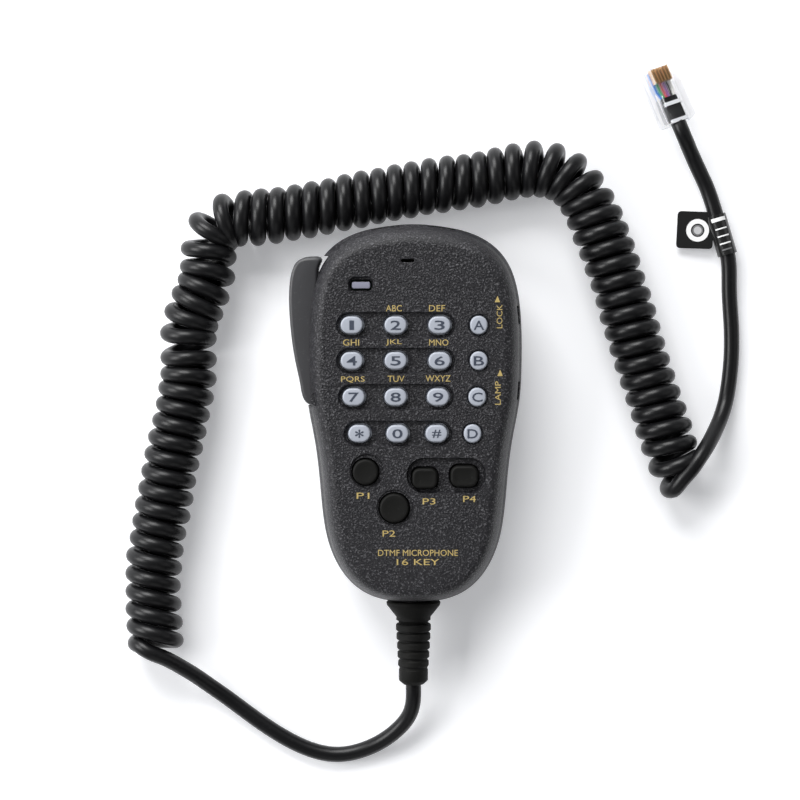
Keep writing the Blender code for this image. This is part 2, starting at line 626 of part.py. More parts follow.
MIC_TAIL = [
    tuple(boot_exit), tuple(boot_ahead), (1.2, -87.2, 7.4), (-2.3, -91.9, 5.4), (-7, -95.6, 3.7),
    (-14, -98.7, 2.5), (-20, -99.6, 2.3), (-27, -98.4, 2.3), (-36, -94.2, 2.3), (-45.4, -87.9, 2.4),
    (-52.2, -82.8, 2.8), (-57.5, -78.9, 4), (-63.6, -74.3, 7.8), (-70.6, -70, 11.5),
]
cord_tube("cord_tail_mic", along(MIC_TAIL, 8), CORD_RADIUS, CORD_RUBBER)

COIL_AXIS = [
    (-72.4, -66.4), (-72.7, -60), (-73.1, -49), (-72.4, -39.5), (-70.2, -27.5), (-68, -15), (-65.7, -4.4),
    (-63.8, 4.4), (-62.8, 12), (-62.9, 18.5), (-62.2, 26.5), (-59.9, 33), (-58, 38.5), (-56.8, 45.6),
    (-55, 52.3), (-51, 56.6), (-45, 58.2), (-37.2, 58.7), (-23.3, 60.6), (-12.9, 62.3), (0.6, 64.7),
    (10, 66.2), (20.5, 67.6), (30.7, 69.9), (37.3, 70.8), (42.9, 70.1), (48, 67.4), (51.4, 63.4),
    (53.9, 58.6), (56.6, 52.1), (61.7, 37.8), (67.4, 18.6), (73.4, 0.1), (76.6, -9.8), (80.1, -18),
]
coil_line = along([(x, y, COIL_RADIUS) for x, y in COIL_AXIS], 8.5)
cord_tube("cord_coil", coil_line, COIL_RADIUS, CORD_RUBBER, sides=10)

plug_matrix = Matrix.Translation(plug_place) @ plug_turn
plug_entry = plug_matrix @ Vector((0, -CORD_GAP, PLUG_CORD_Z))
plug_before = plug_matrix @ Vector((0, -4, PLUG_CORD_Z - 0.1))
tag_middle = Vector(TAG_CENTRE)
tag_start, tag_end = (tag_middle + TAG_DIRECTION * TAG_LENGTH * share for share in (-0.5, 0.5))

PLUG_TAIL = [
    (80.6, -21.6, 9), (85.5, -21.3, 8.5), (90.3, -16.5, 7), (91.8, -9.5, 5), (92.3, -2.5, 3.2), (93.6, 8.7, 2.3),
    (94.7, 16.1, 2.3), (94.9, 26, 2.3), (94.5, 36.5, 2.5), tuple(tag_start), tuple(tag_middle),
    tuple(tag_end), (87.7, 66.3, 3), (85.5, 70.9, 3.5), (83.4, 75.3, 4.3), tuple(plug_before),
    tuple(plug_entry),
]
cord_tube("cord_tail_plug", along(PLUG_TAIL, 6), CORD_RADIUS, CORD_RUBBER)

# ---------------------------------------------------------------- tag on the cord

tag_turn = Matrix.Rotation(math.atan2(-TAG_DIRECTION.x, TAG_DIRECTION.y), 4, "Z")
TAG = frame("TAG", Matrix.Translation(tag_middle) @ tag_turn)
sleeve = swapped(turned(0, 0, [(TAG_RADIUS, -TAG_LENGTH / 2), (TAG_RADIUS, TAG_LENGTH / 2)], 16), "xzy")
cord_tag = add_body("cord_tag", loft(sleeve), TAG_FILM, parent=TAG)
flag = np.array(rounded_box(0, 0, *FLAG_SIZE, 1.1))
spin = np.array([[math.cos(FLAG_TURN), -math.sin(FLAG_TURN)], [math.sin(FLAG_TURN), math.cos(FLAG_TURN)]])
flag_points = [tuple(point) for point in flag @ spin.T + FLAG_MIDDLE]
flag_body = prism(flag_points, -FLAG_THICKNESS / 2, FLAG_THICKNESS / 2)
boolean(cord_tag, cutter("tag_flag", [flag_body], parent=TAG), "UNION")
tag_bore = swapped(turned(0, 0, [(CORD_RADIUS + GAP, -10), (CORD_RADIUS + GAP, 10)], 16), "xzy")
boolean(cord_tag, cutter("tag_bore", [tag_bore], parent=TAG))

# ---------------------------------------------------------------- modular plug

plug_half, plug_length, plug_height = PLUG_SIZE[0] / 2, PLUG_SIZE[1], PLUG_SIZE[2]


def plug_section(half, low, high, y):
    return [(-half, y, low), (half, y, low), (half, y, high), (-half, y, high)]


plug_rings = [
    plug_section(plug_half - 0.25, 0.2, plug_height - 0.2, 0),
    plug_section(plug_half, 0, plug_height, 0.5),
    plug_section(plug_half, 0, plug_height, plug_length - 4.2),
    plug_section(plug_half, 0.3, plug_height - 0.3, plug_length - 0.4),
    plug_section(plug_half - 0.3, 0.6, plug_height - 0.6, plug_length),
]
plug_body = add_body("plug_body", loft(plug_rings), CLEAR_PLASTIC, parent=PLUG)

latch_root_y = plug_length - 1.2
latch_side = [
    (latch_root_y, -0.3), (latch_root_y, -1.1), (latch_root_y - 6.5, -1.5), (latch_root_y - 6.8, -1.8),
    (latch_root_y - 13, -2.2), (latch_root_y - 13, -1.5), (latch_root_y - 6.5, -0.8),
]
latch_rings = [[(x, y, z) for y, z in latch_side] for x in (-1.6, 1.6)]
add_body("plug_latch", loft(latch_rings), CLEAR_PLASTIC, at=(0, latch_root_y, -0.7), parent=PLUG)
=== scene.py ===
"""The looks of a hand microphone for a mobile radio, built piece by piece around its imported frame.

Shapes are drawn in millimetres in the microphone's own straight frame: x across the keypad, y from the cord's
end to the head, z out of the keypad, with z = 0 on the flat back. The plug and the tag have frames of their own.
"""

import math

import bmesh
import bpy
import numpy as np
from mathutils import Matrix, Vector


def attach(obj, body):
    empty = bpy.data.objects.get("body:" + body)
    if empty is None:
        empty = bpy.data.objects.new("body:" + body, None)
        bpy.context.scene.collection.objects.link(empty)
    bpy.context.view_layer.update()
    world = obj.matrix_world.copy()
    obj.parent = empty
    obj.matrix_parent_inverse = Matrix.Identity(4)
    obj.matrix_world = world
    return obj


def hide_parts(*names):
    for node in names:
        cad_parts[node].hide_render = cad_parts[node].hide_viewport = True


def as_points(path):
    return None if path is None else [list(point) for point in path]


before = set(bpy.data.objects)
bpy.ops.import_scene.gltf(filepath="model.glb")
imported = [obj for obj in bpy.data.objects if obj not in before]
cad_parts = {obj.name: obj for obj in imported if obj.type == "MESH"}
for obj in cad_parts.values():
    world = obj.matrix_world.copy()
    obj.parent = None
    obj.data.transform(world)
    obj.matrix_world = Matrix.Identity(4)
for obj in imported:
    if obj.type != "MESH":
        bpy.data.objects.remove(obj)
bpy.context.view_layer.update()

# ---------------------------------------------------------------- rear case
# The back half of the shell, moulded in black ABS with a spark-eroded grain. It stands on four screw wells, and
# its rim stops just short of the front case's, which leaves the parting line.

MM = 0.001
HALF_OUTLINE = [
    (0, 53.6), (10, 52.7), (18.3, 50.2), (23.6, 46.6), (27, 42), (29.2, 35.5), (30.4, 25), (30.5, 14),
    (29.9, 3.5), (28.2, -6), (26.8, -16), (25.7, -28), (23.9, -37.5), (20.4, -45), (14.9, -50.6),
    (8.2, -53.3), (0, -54),
]
HEEL_Y = HALF_OUTLINE[-1][1] + 4.2
PARTING_Z = 14.0
FACE_Z = 27.0
GAP = 0.3
KNOB_Y = 24.0
KNOB_RADIUS = 6.0
KNOB_HEIGHT = 5.0
KNOB_EDGE = 0.5
CASE_SCREWS = [(21, 40), (-21, 40), (17, -40), (-17, -40)]
BOOT_Z = 12.0
SLOT_Y = (2.3, 45.0)
SLOT_Z = (6.6, 21.4)
PTT_PIVOT = (-27.0, 5.0)
PTT_PIN_RADIUS = 0.8
SLIDER_YS = {"lock": 28.3, "lamp": 6.8}
SLIDER_Z = 17.6
HEAD_BUTTONS = {"up_button": 8.0, "down_button": -8.0}
CLAMP_SCREW = (5.6, -44.5)
CLAMP_POST_SIZE = (3.6, 4.0)
HEAD_SLOT_SIZE = (7.9, 4.5)
SIDE_SLOT_SIZE = (5.3, 2.7)
POST_RADIUS = 3.9
KNOB_POST_RADIUS = 4.2
PIN_BOSS_RADIUS = 2.2
SCREW_BORE = 1.6
FINE_SIDES = 24
MIC_SHIFT_X = 2.3

lean = math.atan2(KNOB_HEIGHT, KNOB_Y - KNOB_RADIUS + KNOB_EDGE - HEEL_Y)
mic_place = Vector((MIC_SHIFT_X, PARTING_Z * math.sin(lean), -HEEL_Y * math.sin(lean)))
mic_matrix = Matrix.Translation(mic_place) @ Matrix.Rotation(lean, 4, "X")


def placed(matrix):
    """A function that takes points of a piece's own frame, in millimetres, to their place, in metres: each is
    turned, then shifted, then scaled."""
    turn, shift = np.array(matrix.to_3x3()), np.array(matrix.translation)
    return lambda points: (np.asarray(points, float) @ turn.T + shift) * MM


on_mic = placed(mic_matrix)


def smooth_line(knots, closed=False):
    """A cubic spline: between two knots the place is the Hermite mix of their places and tangents, and the
    tangents solve the linear system that keeps the bend continuous. Gives the places at an array of knot numbers."""
    knots = np.array(knots, float)
    if closed:
        knots = np.vstack([knots, knots[:1]])
    lengths = np.linalg.norm(np.diff(knots, axis=0), axis=1)
    slopes = np.diff(knots, axis=0) / lengths[:, None]
    last = len(knots) - 1
    matrix = np.zeros((last + 1, last + 1))
    goal = np.zeros_like(knots)
    inner = np.arange(1, last)
    matrix[inner, inner - 1] = lengths[1:]
    matrix[inner, inner] = 2 * (lengths[:-1] + lengths[1:])
    matrix[inner, inner + 1] = lengths[:-1]
    goal[1:last] = 3 * (lengths[1:, None] * slopes[:-1] + lengths[:-1, None] * slopes[1:])
    if closed:
        matrix[0, [0, last]] = 1, -1
        matrix[last, [last - 1, last, 0, 1]] = lengths[0], 2 * lengths[0], 2 * lengths[-1], lengths[-1]
        goal[last] = 3 * (lengths[0] * slopes[-1] + lengths[-1] * slopes[0])
    else:
        matrix[0, :2] = 2, 1
        matrix[last, last - 1 :] = 1, 2
        goal[[0, last]] = 3 * slopes[[0, -1]]
    tangents = np.linalg.solve(matrix, goal)

    def place(numbers):
        numbers = np.asarray(numbers, float)
        i = np.minimum(numbers.astype(int), last - 1)
        t = (numbers - i)[:, None]
        step = lengths[i][:, None]
        return (
            (2 * t**3 - 3 * t**2 + 1) * knots[i] + (t**3 - 2 * t**2 + t) * step * tangents[i]
            + (3 * t**2 - 2 * t**3) * knots[i + 1] + (t**3 - t**2) * step * tangents[i + 1]
        )

    return place


def even_line(knots, spacing, closed=False):
    """Points at even distances along the smooth line through the knots."""
    spans = len(knots) - (not closed)
    fine = smooth_line(knots, closed)(np.linspace(0, spans, 60 * spans))
    travelled = np.append(0, np.cumsum(np.linalg.norm(np.diff(fine, axis=0), axis=1)))
    goals = np.linspace(0, travelled[-1], round(travelled[-1] / spacing) + 1)
    line = np.column_stack([np.interp(goals, travelled, column) for column in fine.T])
    return line[:-1] if closed else line


def inset_line(line, inset):
    """An anticlockwise closed outline, with each point moved in across the line through its two neighbours."""
    ahead = np.roll(line, -1, axis=0) - np.roll(line, 1, axis=0)
    ahead /= np.linalg.norm(ahead, axis=1)[:, None]
    return line - np.column_stack([ahead[:, 1], -ahead[:, 0]]) * inset


def level(outline, z):
    return np.column_stack([outline, np.full(len(outline), z)])


def lofted(rings, material=0):
    """A closed surface over a grid of two parameters, the place round a ring and the ring's number. Neighbours
    are joined by quads, and the first and last ring are each closed by one flat face."""
    rings = np.asarray(rings, float)
    rows, columns = rings.shape[:2]
    index = np.arange(rows * columns).reshape(rows, columns)
    near, far = index[:-1], index[1:]
    quads = np.stack([near, np.roll(near, -1, 1), np.roll(far, -1, 1), far], axis=-1).reshape(-1, 4)
    return rings.reshape(-1, 3), [*quads.tolist(), index[0, ::-1].tolist(), index[-1].tolist()], material


def round_section(x, y, radius, sides):
    turn = 2 * np.pi * np.arange(sides) / sides
    return np.column_stack([x + radius * np.cos(turn), y + radius * np.sin(turn)])


def turned(x, y, profile, sides=48, material=0):
    """A body turned about the line through (x, y) along z: each (radius, z) of the profile is one ring."""
    return lofted([level(round_section(x, y, radius, sides), z) for radius, z in profile], material)


def rounded(x, y, width, height, radius, steps=8):
    """A rectangle with round corners: each corner is a quarter circle about a centre `radius` inside it."""
    turn = (np.arange(4)[:, None] + np.linspace(0, 1, steps + 1)) * np.pi / 2
    side_x, side_y = np.array([1, -1, -1, 1])[:, None], np.array([1, 1, -1, -1])[:, None]
    across = x + side_x * (width / 2 - radius) + radius * np.cos(turn)
    along = y + side_y * (height / 2 - radius) + radius * np.sin(turn)
    return np.column_stack([across.ravel(), along.ravel()])


def block(low, high, material=0):
    middle, size = np.add(low, high) / 2, np.subtract(high, low)
    corners = rounded(*middle[:2], *size[:2], 0.0, 0)
    return lofted([level(corners, low[2]), level(corners, high[2])], material)


def swapped(surface, order):
    """The same surface with its axes in another order, such as "xzy" for a body turned about a line along y."""
    points, faces, material = surface
    return points[:, ["xyz".index(letter) for letter in order]], faces, material


def smooth(piece, angle=35):
    piece.data.shade_smooth()
    piece.data.set_sharp_from_angle(angle=math.radians(angle))


def make_piece(name, surfaces, materials, place=on_mic, body="root", stands_for=()):
    """One object of several closed surfaces, each with the number of its material, riding on a body."""
    points, faces, numbers = [], [], []
    for surface_points, surface_faces, material in surfaces:
        start = sum(map(len, points))
        points.append(surface_points)
        faces += [[i + start for i in face] for face in surface_faces]
        numbers += [material] * len(surface_faces)
    mesh = bpy.data.meshes.new(name)
    mesh.from_pydata(place(np.vstack(points)), [], faces)
    for material in materials:
        mesh.materials.append(material)
    mesh.polygons.foreach_set("material_index", numbers)
    shape = bmesh.new()
    shape.from_mesh(mesh)
    bmesh.ops.recalc_face_normals(shape, faces=shape.faces)
    shape.to_mesh(mesh)
    shape.free()
    piece = bpy.data.objects.new(name, mesh)
    bpy.context.scene.collection.objects.link(piece)
    smooth(piece)
    if body:
        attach(piece, body)
    if stands_for:
        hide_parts(*stands_for)
    return piece


def carve(piece, surfaces, operation="DIFFERENCE", place=on_mic):
    """Cuts closed surfaces out of a piece, or adds them to it, and keeps the result as the piece's mesh."""
    tool = make_piece("tool", surfaces, [], place, body=None)
    modifier = piece.modifiers.new("carve", "BOOLEAN")
    modifier.operation = operation
    modifier.solver = "EXACT"
    modifier.object = tool
    graph = bpy.context.evaluated_depsgraph_get()
    result = bpy.data.meshes.new_from_object(piece.evaluated_get(graph))
    piece.modifiers.remove(modifier)
    piece.data = result
    bpy.data.objects.remove(tool)
    smooth(piece)


def shader_group(name, inputs, outputs):
    """A node group with float inputs (name: default) and outputs (name: kind), and its two end nodes."""
    group = bpy.data.node_groups.new(name, "ShaderNodeTree")
    for label, default in inputs.items():
        kind = "NodeSocketColor" if isinstance(default, tuple) else "NodeSocketFloat"
        group.interface.new_socket(name=label, in_out="INPUT", socket_type=kind).default_value = default
    for label, kind in outputs.items():
        group.interface.new_socket(name=label, in_out="OUTPUT", socket_type=f"NodeSocket{kind}")
    return group, group.nodes.new("NodeGroupInput").outputs, group.nodes.new("NodeGroupOutput").inputs


def add_node(tree, kind, inputs, **settings):
    """A shader node with its settings. An input is given a value, or is linked from another node's output."""
    node = tree.nodes.new(f"ShaderNode{kind}")
    for name, value in settings.items():
        setattr(node, name, value)
    for name, value in inputs.items():
        if isinstance(value, bpy.types.NodeSocket):
            tree.links.new(value, node.inputs[name])
        else:
            node.inputs[name].default_value = value
    return node


def math_node(tree, operation, first, second):
    return add_node(tree, "Math", {0: first, 1: second}, operation=operation).outputs[0]


# Grain: pits and pimples of one size, from noise over cells, and a mask of the pimples that catch the light, which the
# finish paints lighter: a painted highlight.
GRAIN, given, result = shader_group(
    "Moulded grain", {"Grain size": 0.4, "Glint level": 0.56}, {"Height": "Float", "Painted glints": "Float"}
)
where = add_node(GRAIN, "TexCoord", {}).outputs["Object"]
density = math_node(GRAIN, "DIVIDE", 1000.0, given["Grain size"])
pimples = add_node(GRAIN, "TexNoise", {"Vector": where, "Scale": density, "Detail": 2.0, "Roughness": 0.6})
cells = add_node(GRAIN, "TexVoronoi", {"Vector": where, "Scale": math_node(GRAIN, "MULTIPLY", density, 0.8)})
bumps = math_node(GRAIN, "SUBTRACT", pimples.outputs[0], math_node(GRAIN, "MULTIPLY", cells.outputs[0], 0.35))
GRAIN.links.new(bumps, result["Height"])
# The mask below marks where glints are painted onto the highest pimples.
glint_top = math_node(GRAIN, "ADD", given["Glint level"], 0.09)
painted_glints = add_node(
    GRAIN, "MapRange", {"Value": pimples.outputs[0], "From Min": given["Glint level"], "From Max": glint_top}
)
GRAIN.links.new(painted_glints.outputs[0], result["Painted glints"])

# Handling: broad, faint changes of shade and gloss where hands have been, and dust on what faces up.
HANDLING, given, result = shader_group(
    "Handling",
    {"Colour": (0.5, 0.5, 0.5, 1.0), "Roughness": 0.5, "Mottle": 0.2, "Dust": 0.0},
    {"Colour": "Color", "Roughness": "Float"},
)
where = add_node(HANDLING, "TexCoord", {}).outputs["Object"]
clouds = add_node(HANDLING, "TexNoise", {"Vector": where, "Scale": 55.0, "Detail": 4.0, "Roughness": 0.6})
uneven = math_node(HANDLING, "SUBTRACT", clouds.outputs[0], 0.5)
mottle = math_node(HANDLING, "MULTIPLY", uneven, given["Mottle"])
shade = add_node(HANDLING, "VectorMath", {0: given["Colour"]}, operation="SCALE")
HANDLING.links.new(math_node(HANDLING, "ADD", mottle, 1.0), shade.inputs["Scale"])
motes = add_node(HANDLING, "TexNoise", {"Vector": where, "Scale": 1100.0, "Detail": 3.0, "Roughness": 0.7})
mote_mask = add_node(HANDLING, "MapRange", {"Value": motes.outputs[0], "From Min": 0.6, "From Max": 0.72})
facing = add_node(HANDLING, "SeparateXYZ", {0: add_node(HANDLING, "NewGeometry", {}).outputs["Normal"]})
upward = math_node(HANDLING, "MAXIMUM", facing.outputs["Z"], 0.0)
dust = math_node(HANDLING, "MULTIPLY", mote_mask.outputs[0], math_node(HANDLING, "MULTIPLY", upward, given["Dust"]))
dusty = add_node(
    HANDLING, "Mix", {"Factor": dust, "A": shade.outputs[0], "B": (0.45, 0.45, 0.44, 1.0)}, data_type="RGBA"
)
HANDLING.links.new(dusty.outputs["Result"], result["Colour"])
worn = math_node(HANDLING, "ADD", given["Roughness"], math_node(HANDLING, "MULTIPLY", mottle, 0.5))
HANDLING.links.new(math_node(HANDLING, "ADD", worn, math_node(HANDLING, "MULTIPLY", dust, 0.3)), result["Roughness"])


def finish(name, colour, roughness, grain=0.4, depth=0.01, mottle=0.2, dust=0.0, painted_glints=0.0, **sockets):
    """A material: its colour and gloss pass through the handling group, and the grain group lifts its surface
    by `depth` millimetres and paints its pimples lighter by a given share, a painted highlight for the glints they
    catch. Other sockets are set as they are."""
    material = bpy.data.materials.new(name)
    material.use_nodes = True
    tree = material.node_tree
    shader = tree.nodes["Principled BSDF"]
    texture = add_node(tree, "Group", {}, node_tree=GRAIN)
    texture.inputs["Grain size"].default_value = grain
    marks = add_node(tree, "Group", {}, node_tree=HANDLING)
    marks.inputs["Colour"].default_value = (*colour, 1)
    marks.inputs["Roughness"].default_value = roughness
    marks.inputs["Mottle"].default_value = mottle
    marks.inputs["Dust"].default_value = dust
    # The pale colour of the painted glints on the grain's pimples, and the mask where they are painted.
    light = tuple(min(1, 3.5 * part + 0.07) for part in colour)
    painted_glint_mask = math_node(tree, "MULTIPLY", texture.outputs["Painted glints"], painted_glints)
    glint_painted_colour = add_node(
        tree, "Mix", {"Factor": painted_glint_mask, "A": marks.outputs["Colour"], "B": (*light, 1)}, data_type="RGBA"
    )
    bump = add_node(tree, "Bump", {"Height": texture.outputs["Height"], "Distance": depth * MM, "Strength": 1.0})
    tree.links.new(glint_painted_colour.outputs["Result"], shader.inputs["Base Color"])
    tree.links.new(marks.outputs["Roughness"], shader.inputs["Roughness"])
    tree.links.new(bump.outputs[0], shader.inputs["Normal"])
    for socket, value in sockets.items():
        shader.inputs[socket.replace("_", " ")].default_value = value
    return material


# The case's grain has its pimples painted lighter, a painted highlight of the glints they catch.
CASE_PLASTIC = finish(
    "case_plastic", (0.0115, 0.0112, 0.0135), 0.42, 0.5, 0.3, 0.3, 0.04, 0.8, Specular_IOR_Level=0.34
)

around = [(-x, y) for x, y in HALF_OUTLINE[1:-1]] + HALF_OUTLINE[::-1][:1] + HALF_OUTLINE[1:-1][::-1]
around += HALF_OUTLINE[:1]
case_line = even_line(around, 1.2, closed=True)


def shell(name, inner, outer, node):
    """A case half: rings run down its inner wall, round the rim and up its outer wall. Each is the outline moved
    in by an inset at a height, read from a smooth profile of (inset, z)."""
    profile = np.vstack([even_line(inner, 0.8), even_line(outer, 0.45)])
    rings = [level(inset_line(case_line, inset), z) for inset, z in profile]
    return make_piece(name, [lofted(rings)], [CASE_PLASTIC], stands_for=[node])


rear_rim = PARTING_Z - GAP
rear_case = shell(
    "rear_shell",
    [(5.8, 2), (4.6, 2.4), (3.8, 3.6), (2.5, 7.5), (2.0, rear_rim)],
    [(0.2, rear_rim), (-0.1, rear_rim - 0.3), (0.1, 10), (0.6, 6.5), (1.5, 3.2), (2.6, 1.2), (4.2, 0.1), (5.2, 0)],
    "rear_case",
)


def pillar(x, y, radius, low, high, sides=48):
    """A round post, or the cutter of a round hole, between two heights."""
    return turned(x, y, [(radius, low), (radius, high)], sides)


def slab(x, y, size, low, high):
    """An upright rectangular post about (x, y) between two heights."""
    half = np.array(size) / 2
    return block((x - half[0], y - half[1], low), (x + half[0], y + half[1], high))


rear_posts = [pillar(x, y, POST_RADIUS, 1, 13.4) for x, y in CASE_SCREWS]
rear_posts += [pillar(0, KNOB_Y, KNOB_POST_RADIUS, 1, 9), pillar(*PTT_PIVOT, PIN_BOSS_RADIUS, 3, 6.3)]
spring_wall = block((-22.7, 26, 1), (-21.2, 34, 13.2))
clamp_posts = [slab(side * CLAMP_SCREW[0], CLAMP_SCREW[1], CLAMP_POST_SIZE, 1, 14.3) for side in (-1, 1)]
carve(rear_case, [*rear_posts, spring_wall, *clamp_posts], "UNION")

boot_hole = swapped(pillar(0, BOOT_Z, 4.2, -60, -48), "xzy")
ptt_slot = block((-40, SLOT_Y[0], SLOT_Z[0]), (-22.9, SLOT_Y[1], SLOT_Z[1]))
head_slots = [swapped(slab(x, PARTING_Z, HEAD_SLOT_SIZE, 46, 60), "xzy") for x in HEAD_BUTTONS.values()]
side_slots = [swapped(slab(y, SLIDER_Z, SIDE_SLOT_SIZE, 24, 34), "zxy") for y in SLIDER_YS.values()]
wall_slots = [boot_hole, ptt_slot, *head_slots]
carve(rear_case, wall_slots)
pin_bore = pillar(*PTT_PIVOT, PTT_PIN_RADIUS + GAP, 4.2, 23.1, FINE_SIDES)
WELL = [(3.7, -0.4), (3.1, 0.35), (3.1, 9.0), (SCREW_BORE, 9.0), (SCREW_BORE, 23.0)]
wells = [turned(x, y, WELL) for x, y in CASE_SCREWS]
back_holes = [pillar(0, KNOB_Y, 1.9, -2, 8.5), pillar(*CLAMP_SCREW, 1.1, 8, 16, FINE_SIDES)]
carve(rear_case, [pin_bore, *wells, *back_holes])
BACK_PANEL = rounded(0, -9, 34, 40, 3)
panel_sides = [level(BACK_PANEL, 0.25), level(inset_line(BACK_PANEL, -0.5), -0.25)]
SEAT = [(8.2, -0.3), (8.2, 0.35), (7.8, 0.6)]
carve(rear_case, [lofted(panel_sides), turned(0, KNOB_Y, SEAT)])

# ---------------------------------------------------------------- front case
# The keypad half of the shell, moulded like the back. Its face is flat and coarsely grained, its shoulders are
# rounded, and each row of keys sits in a shallow trough of its own.

KEY_ROWS = [
    (25.9, (-17.4, -5.1, 7.2, 18.2)),
    (15.9, (-17.4, -5.1, 7.2, 18.2)),
    (5.7, (-16.9, -5.1, 6.8, 17.8)),
    (-4.6, (-15.3, -4.6, 6.4, 16.5)),
]
KEY_NAMES = ["123a", "456b", "789c", "*0#d"]
WORDS = {"*": "star", "#": "hash"}
KEY_SIZE = (6.2, 4.8)
LETTER_KEY_SIZE = (4.9, 5.2)
KEY_GAP = 0.45
TROUGH = 1.2
ROW_MARGIN = 4.1
ROW_HEIGHT = 6.5
PROGRAM_BUTTONS = {
    "p1_button": (-13.6, -15.5, 7.2, 7.2, 3.6),
    "p2_button": (-5.5, -25.7, 8.2, 8.2, 4.1),
    "p3_button": (3.1, -17.3, 7.0, 5.6, 2.0),
    "p4_button": (14.2, -16.7, 7.6, 5.9, 2.2),
}
LENS_CENTRE = (-14.8, 37.0)
BOARD_SCREWS = [(0, 33), (8, -36)]

front_case = shell(
    "front_shell",
    [(5.8, 25), (4.6, 24.6), (3.8, 23.2), (2.9, 20.5), (2.0, PARTING_Z)],
    [
        (0.3, PARTING_Z), (0, PARTING_Z + 0.3), (0.35, 17), (0.9, 20.5), (1.5, 22.8), (2.3, 24.8), (3.2, 26.2),
        (4.4, 26.93), (5.4, FACE_Z),
    ],
    "front_case",
)
front_posts = [pillar(x, y, 2.9, PARTING_Z, 24.4) for x, y in CASE_SCREWS]
front_posts += [pillar(x, y, 2.4, 21.6, 25.5) for x, y in BOARD_SCREWS]
front_posts.append(pillar(*PTT_PIVOT, PIN_BOSS_RADIUS, 21.7, 25.0))
carve(front_case, front_posts, "UNION")


def dish(outline, depth, rise=0.6):
    """A cutter for a trough with sloping sides: its floor is the outline, and it widens by a third of its height."""
    top = FACE_Z + rise
    return lofted([level(outline, FACE_Z - depth), level(inset_line(outline, (FACE_Z - depth - top) / 3), top)])


def through(outline, face=FACE_Z):
    """A cutter for a hole with a small chamfer where it meets the face."""
    levels = [(0, FACE_Z - 5), (0, face - 0.2), (-0.6, face + 0.4)]
    return lofted([level(inset_line(outline, inset), z) for inset, z in levels])


def key_outline(x, y, size, grow=0.0, radius=None):
    width, height = size[0] + 2 * grow, size[1] + 2 * grow
    radius = min(width, height) / 2 if radius is None else max(radius + grow, 0.2)
    return rounded(x, y, width, height, radius - 0.01)


troughs = []
key_holes = []
for (row_y, key_xs), names in zip(KEY_ROWS, KEY_NAMES):
    left, right = key_xs[0] - ROW_MARGIN, key_xs[2] + ROW_MARGIN
    troughs.append(dish(rounded((left + right) / 2, row_y, right - left, ROW_HEIGHT, ROW_HEIGHT / 2 - 0.01), TROUGH))
    for key_x, sign in zip(key_xs, names):
        if sign in "abcd":
            key_holes.append(through(key_outline(key_x, row_y, LETTER_KEY_SIZE, KEY_GAP)))
        else:
            key_holes.append(through(key_outline(key_x, row_y, KEY_SIZE, KEY_GAP), FACE_Z - TROUGH))
troughs.append(dish(rounded(9.2, -16.5, 21.6, 9.2, 4.4), TROUGH))
troughs.append(dish(rounded(*LENS_CENTRE, 6.5, 4.2, 1.6), TROUGH))
troughs += [dish(round_section(-13.2, -15.2, 4.7, 48), 0.5), dish(round_section(-5.4, -25.6, 5.0, 48), 0.4)]
carve(front_case, troughs)
for name, (x, y, width, height, radius) in PROGRAM_BUTTONS.items():
    face = FACE_Z - TROUGH if name in ("p3_button", "p4_button") else FACE_Z
    key_holes.append(through(key_outline(x, y, (width, height), KEY_GAP, radius), face))
lens_hole = through(rounded(*LENS_CENTRE, 6.0, 3.0, 0.9), FACE_Z - TROUGH)
sound_slot = through(rounded(-1.7, 43.9, 3.7, 0.9, 0.44))
carve(front_case, [*key_holes, lens_hole, sound_slot])
carve(front_case, wall_slots + side_slots)
screw_bores = [pillar(x, y, SCREW_BORE, 9, 23, FINE_SIDES) for x, y in CASE_SCREWS]
board_bores = [pillar(x, y, 1.3, 15, 24.2, FINE_SIDES) for x, y in BOARD_SCREWS]
carve(front_case, [pin_bore, *screw_bores, *board_bores])

# ---------------------------------------------------------------- keys
# Sixteen pale blue-grey caps of moulded silicone, each with a flange that keeps it in its hole and a dark sign
# printed on its flat, soft-edged top.

KEY_RUBBER = finish("key_rubber", (0.37, 0.395, 0.45), 0.42, 0.25, 0.012, 0.08)
KEY_INK = finish("key_ink", (0.045, 0.055, 0.08), 0.5, 0.25, 0.005)
KEY_TOP = FACE_Z + 0.9
FLANGE = [(0.9, 23.9), (0.9, 24.7), (0.0, 24.7)]


def lettering(text, x, y, width, height, low, high, material=0, turn=0.0, weight=0.0):
    """Raised letters: the text's own shape, scaled to the given width and height about (x, y), between two
    heights."""
    curve = bpy.data.curves.new("letters", "FONT")
    curve.body = text
    curve.extrude = 0.05
    curve.offset = weight
    curve.resolution_u = 3
    sign = bpy.data.objects.new("letters", curve)
    bpy.context.scene.collection.objects.link(sign)
    mesh = bpy.data.meshes.new_from_object(sign.evaluated_get(bpy.context.evaluated_depsgraph_get()))
    bpy.data.objects.remove(sign)
    points = np.zeros(3 * len(mesh.vertices))
    mesh.vertices.foreach_get("co", points)
    points = points.reshape(-1, 3)
    lowest, highest = points.min(0), points.max(0)
    points = (points - (lowest + highest) / 2) / (highest - lowest) * (width, height, high - low)
    cos, sin = math.cos(turn), math.sin(turn)
    points = points @ np.array([[cos, sin, 0], [-sin, cos, 0], [0, 0, 1]]) + (x, y, (low + high) / 2)
    return points, [list(face.vertices) for face in mesh.polygons], material


def cap(x, y, size, top, edge, crown, radius=None):
    """A button: flange, straight sides, an edge rounded as a quarter circle, and a top that rises by a square law
    to its crown."""
    arc = np.linspace(0, np.pi / 2, 7)
    profile = FLANGE + [(-edge * (1 - math.cos(a)), top - edge + edge * math.sin(a)) for a in arc]
    reach = min(size) / 2 - 0.35
    inward = np.linspace(edge, reach, 5)[1:]
    profile += [(-inset, top + crown * (1 - ((reach - inset) / (reach - edge)) ** 2)) for inset in inward]
    return lofted([level(key_outline(x, y, size, grow, radius), z) for grow, z in profile])


